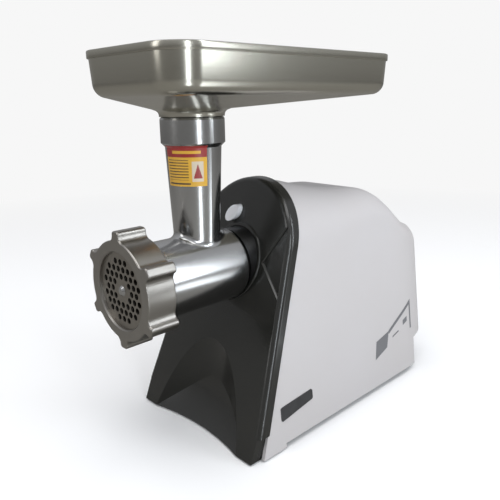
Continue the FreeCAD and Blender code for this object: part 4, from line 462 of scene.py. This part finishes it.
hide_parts("hopper_tray")

# ---- Label on the feed tube ------------------------------------------------------------------
# A plain printed sticker wrapped round the feed tube: a red band over a yellow field, with blank
# bars and a plain triangle in place of words.
LABEL_LIFT = 0.00012
LABEL_LOW, LABEL_HIGH = 0.2088, 0.2382
LABEL_FROM, LABEL_TO = -14.0, 79.0      # degrees round the tube, from straight ahead towards +X
LABEL_COLUMNS, LABEL_ROWS = 108, 126
TUBE_CLEAR = 0.04         # a radius well outside the feed tube, where the label starts
TEXT_LINES = 42           # rows of the label's pattern of blank bars; every third row is a bar
YELLOW, RED, DARK, WHITE = range(4)
BAND_FOOT = 0.72
BAND_BAR = (0.2, 0.86, 0.81, 0.88)      # left, right, low, high, as shares of the label
PICTURE = (0.66, 0.92, 0.12, 0.62)
TEXT = (0.06, 0.58, 0.16, 0.66)
FOOT_LINE = (0.06, 0.62, 0.05, 0.09)
TRIANGLE_MIDDLE, TRIANGLE_HALF = 0.79, 0.1
TRIANGLE_FOOT, TRIANGLE_TALL = 0.2, 0.36


def printed(name, colour, roughness=0.34):
    worn = tuple(part * 0.9 + 0.02 for part in colour)
    return coated(name, MOULDED, 0.000004, coat=0.3, Colour=(*colour, 1.0), Worn_Colour=(*worn, 1.0),
                  Roughness=roughness, Gloss_Change=0.08, Patch_Scale=120.0)


def within(box, across, up):
    left, right, foot, top = box
    return left < across < right and foot < up < top


def print_of(across, up):
    """Which ink covers a spot of the label; both shares run from 0 to 1."""
    if up > BAND_FOOT:
        return YELLOW if within(BAND_BAR, across, up) else RED
    if within(PICTURE, across, up):
        rise = (up - TRIANGLE_FOOT) / TRIANGLE_TALL
        in_triangle = 0.0 < rise < 1.0 and abs(across - TRIANGLE_MIDDLE) < TRIANGLE_HALF * (1 - rise)
        return RED if in_triangle else WHITE
    bar = within(TEXT, across, up) and int(up * TEXT_LINES) % 3 == 0
    return DARK if bar or within(FOOT_LINE, across, up) else YELLOW


shape = bmesh.new()
bmesh.ops.create_grid(shape, x_segments=LABEL_COLUMNS, y_segments=LABEL_ROWS, size=0.5)
for face in shape.faces:
    middle_of_face = face.calc_center_median()
    face.material_index = print_of(middle_of_face.x + 0.5, middle_of_face.y + 0.5)
for point in shape.verts:
    turn = math.radians(LABEL_FROM + (LABEL_TO - LABEL_FROM) * (point.co.x + 0.5))
    z = LABEL_LOW + (LABEL_HIGH - LABEL_LOW) * (point.co.y + 0.5)
    outward = Vector((math.sin(turn), -math.cos(turn)))
    point.co = (feed_axis + outward * TUBE_CLEAR).to_3d() + Vector((0, 0, z))
lay_on(shape, "grinder_head", lambda co: (feed_axis - co.xy).to_3d(), LABEL_LIFT)
label = finished("tube_label", shape,
                 [printed("label_yellow", (0.72, 0.4, 0.03)), printed("label_red", (0.3, 0.015, 0.012)),
                  printed("label_ink", (0.06, 0.035, 0.02)), printed("label_white", (0.66, 0.56, 0.42))])
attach(label, "head")

# ---- Badge and side marks --------------------------------------------------------------------
# A blank graphite badge low on the housing's side, near the front, and a grey printed block with
# thin rules near the back. Both lie flat on the moulded side.
BADGE_LIFT = 0.0007
BADGE_SUNK = 0.0002       # how far the badge's edge reaches into the housing
BADGE_ROUND = 0.0016
MARK_LIFT = 0.00008
SIDE_CLEAR = 0.12         # X well outside the housing, where a patch starts
graphite = printed("graphite_badge", (0.02, 0.02, 0.022), 0.28)
mark_grey = printed("mark_grey", (0.16, 0.16, 0.17), 0.4)


def side_patch(corners, lift, round_by=0.0, thick=False, cell=0.002):
    """An outline of (Y behind the feed tube, Z), cut fine and laid on the housing's +X side."""
    shape = bmesh.new()
    outline = [shape.verts.new((SIDE_CLEAR, feed_axis.y + y, z)) for y, z in corners]
    shape.faces.new(outline)
    if round_by:
        bmesh.ops.bevel(shape, geom=shape.verts[:], affect="VERTICES", offset=round_by, segments=5,
                        profile=0.5, material=-1)
    spread = [point.co.y for point in shape.verts]
    cuts = int((max(spread) - min(spread)) / cell)
    for step in range(1, cuts):
        bmesh.ops.bisect_plane(shape, geom=shape.verts[:] + shape.edges[:] + shape.faces[:],
                               plane_co=(0, min(spread) + step * cell, 0), plane_no=(0, 1, 0))
    lay_on(shape, "main_housing", lambda co: Vector((-1, 0, 0)), lift)
    if thick:
        rim = [edge for edge in shape.edges if edge.is_boundary]
        grow(shape, rim, lambda co: co - Vector((lift + BADGE_SUNK, 0, 0)))
    return shape


badge_outline = [(0.020, 0.0242), (0.058, 0.0298), (0.058, 0.0382), (0.020, 0.0357)]
badge = finished("side_badge", side_patch(badge_outline, BADGE_LIFT, BADGE_ROUND, True), [graphite])
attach(badge, "casing")
marks = [[(0.150, 0.031), (0.170, 0.0375), (0.174, 0.0525), (0.153, 0.048)],
         [(0.1735, 0.0528), (0.2150, 0.0738), (0.2150, 0.0702), (0.1740, 0.0494)],
         [(0.2122, 0.0440), (0.2150, 0.0440), (0.2150, 0.0703), (0.2122, 0.0688)],
         [(0.180, 0.0440), (0.191, 0.0470), (0.191, 0.0486), (0.180, 0.0456)],
         [(0.199, 0.0510), (0.207, 0.0535), (0.207, 0.0585), (0.199, 0.0560)]]
for count, corners in enumerate(marks):
    mark = finished("side_mark_%d" % count, side_patch(corners, MARK_LIFT), [mark_grey])
    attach(mark, "casing")

# ---- Floor, light and camera -----------------------------------------------------------------
# A pale table under a plain bright room: a broad lamp above, two tall narrow windows to the right
# that draw bright lines down the metal, their sheen on the table, and a weaker window in front.
TABLE_RADIUS = 6.0
FADE_FROM, FADE_TO = 0.3, 1.3            # the table fades into the room between these distances
PALE = (0.93, 0.93, 0.93, 1.0)
low, high = cad_size
middle = (low + high) / 2
table = bpy.data.meshes.new("table")
shape = bmesh.new()
bmesh.ops.create_circle(shape, cap_ends=True, segments=96, radius=TABLE_RADIUS)
shape.to_mesh(table)
shape.free()
floor = bpy.data.objects.new("table", table)
bpy.context.scene.collection.objects.link(floor)
pale = bpy.data.materials.new("pale_table")
pale.use_nodes = True
top = pale.node_tree
matt = top.nodes["Principled BSDF"]
matt.inputs["Roughness"].default_value = 0.9
far_off = add(top, "ShaderNodeVectorMath", {"operation": "LENGTH"},
              _0=add(top, "ShaderNodeTexCoord").outputs["Object"]).outputs["Value"]
fade = add(top, "ShaderNodeMapRange", Value=far_off).outputs[0]
fade.node.inputs["From Min"].default_value = FADE_FROM
fade.node.inputs["From Max"].default_value = FADE_TO
straight = add(top, "ShaderNodeLightPath")
bounce = tint(top, straight.outputs["Is Glossy Ray"], (0.6, 0.6, 0.6, 1.0), (0.28, 0.27, 0.25, 1.0))
table_colour = tint(top, straight.outputs["Is Camera Ray"], bounce, PALE)
top.links.new(table_colour, matt.inputs["Base Color"])
glow = add(top, "ShaderNodeEmission", Color=PALE)
reach = calculate(top, "MULTIPLY", fade, straight.outputs["Is Camera Ray"])
blend = add(top, "ShaderNodeMixShader", Fac=reach, _1=matt.outputs[0], _2=glow.outputs[0])
top.links.new(blend.outputs[0], top.nodes["Material Output"].inputs["Surface"])
table.materials.append(pale)

world = bpy.data.worlds.new("bright_room")
world.use_nodes = True
bpy.context.scene.world = world
room = world.node_tree
walls = room.nodes["Background"]
seen = add(room, "ShaderNodeLightPath").outputs["Is Camera Ray"]
upward = add(room, "ShaderNodeSeparateXYZ", Vector=add(room, "ShaderNodeTexCoord").outputs["Generated"])
height = calculate(room, "MULTIPLY_ADD", upward.outputs["Z"], 0.9, 0.25)
around = tint(room, height, (0.17, 0.165, 0.15, 1.0), (0.62, 0.63, 0.66, 1.0))
room.links.new(tint(room, seen, around, PALE), walls.inputs["Color"])
walls.inputs["Strength"].default_value = 1.0


def lamp(name, place, width, tall, power, colour=(1.0, 1.0, 1.0)):
    """A soft rectangular light that faces the middle of the grinder."""
    light = bpy.data.lights.new(name, "AREA")
    light.shape = "RECTANGLE"
    light.size = width
    light.size_y = tall
    light.energy = power
    light.color = colour
    holder = bpy.data.objects.new(name, light)
    holder.location = place
    holder.rotation_euler = (middle - Vector(place)).to_track_quat("-Z", "Y").to_euler()
    bpy.context.scene.collection.objects.link(holder)
    return holder


DAYLIGHT = (0.88, 0.94, 1.0)
lamp("ceiling_lamp", (0.2, -0.2, 1.9), 1.5, 1.5, 20)
lamp("right_window", (1.47, 0.85, 0.9), 0.28, 1.5, 9.5, DAYLIGHT)
lamp("tall_strip", (1.42, -0.49, 0.45), 0.2, 1.3, 8, DAYLIGHT)
lamp("front_window", (-0.5, -1.7, 0.9), 0.5, 1.2, 5)

SHEEN_NEAR, SHEEN_FAR = 0.38, 1.25       # a window's sheen on the table, from the feed tube outwards
SHEEN_HEIGHT = 0.004
for name, side, width, power in (("strip_sheen", (1.42, -0.40), 0.11, 1.6),
                                 ("window_sheen", (1.47, 0.94), 0.10, 1.0)):
    sheen = lamp(name, (0, 0, 0), width, SHEEN_FAR - SHEEN_NEAR, power, DAYLIGHT)
    outward = Vector(side).normalized()
    spot = feed_axis + outward * (SHEEN_NEAR + SHEEN_FAR) / 2
    sheen.location = spot.to_3d() + Vector((0, 0, SHEEN_HEIGHT))
    sheen.rotation_euler = (math.pi, 0, math.atan2(-outward.x, outward.y))
    sheen.visible_camera = False

CAMERA_PLACE = (0.3366, -0.3551, 0.270)
CAMERA_VIEW = Vector((-0.700, 0.664, -0.262))
CAMERA_ROLL = math.radians(-1.0)
LENS = 40.05
camera = bpy.data.objects.new("camera", bpy.data.cameras.new("camera"))
camera.data.sensor_width = 36.0
camera.data.lens = LENS
camera.data.clip_end = 50.0
camera.location = CAMERA_PLACE
upright = CAMERA_VIEW.to_track_quat("-Z", "Y").to_matrix() @ Matrix.Rotation(CAMERA_ROLL, 3, "Z")
camera.rotation_euler = upright.to_euler()
bpy.context.scene.collection.objects.link(camera)
bpy.context.scene.camera = camera
bpy.context.scene.view_settings.view_transform = "Standard"
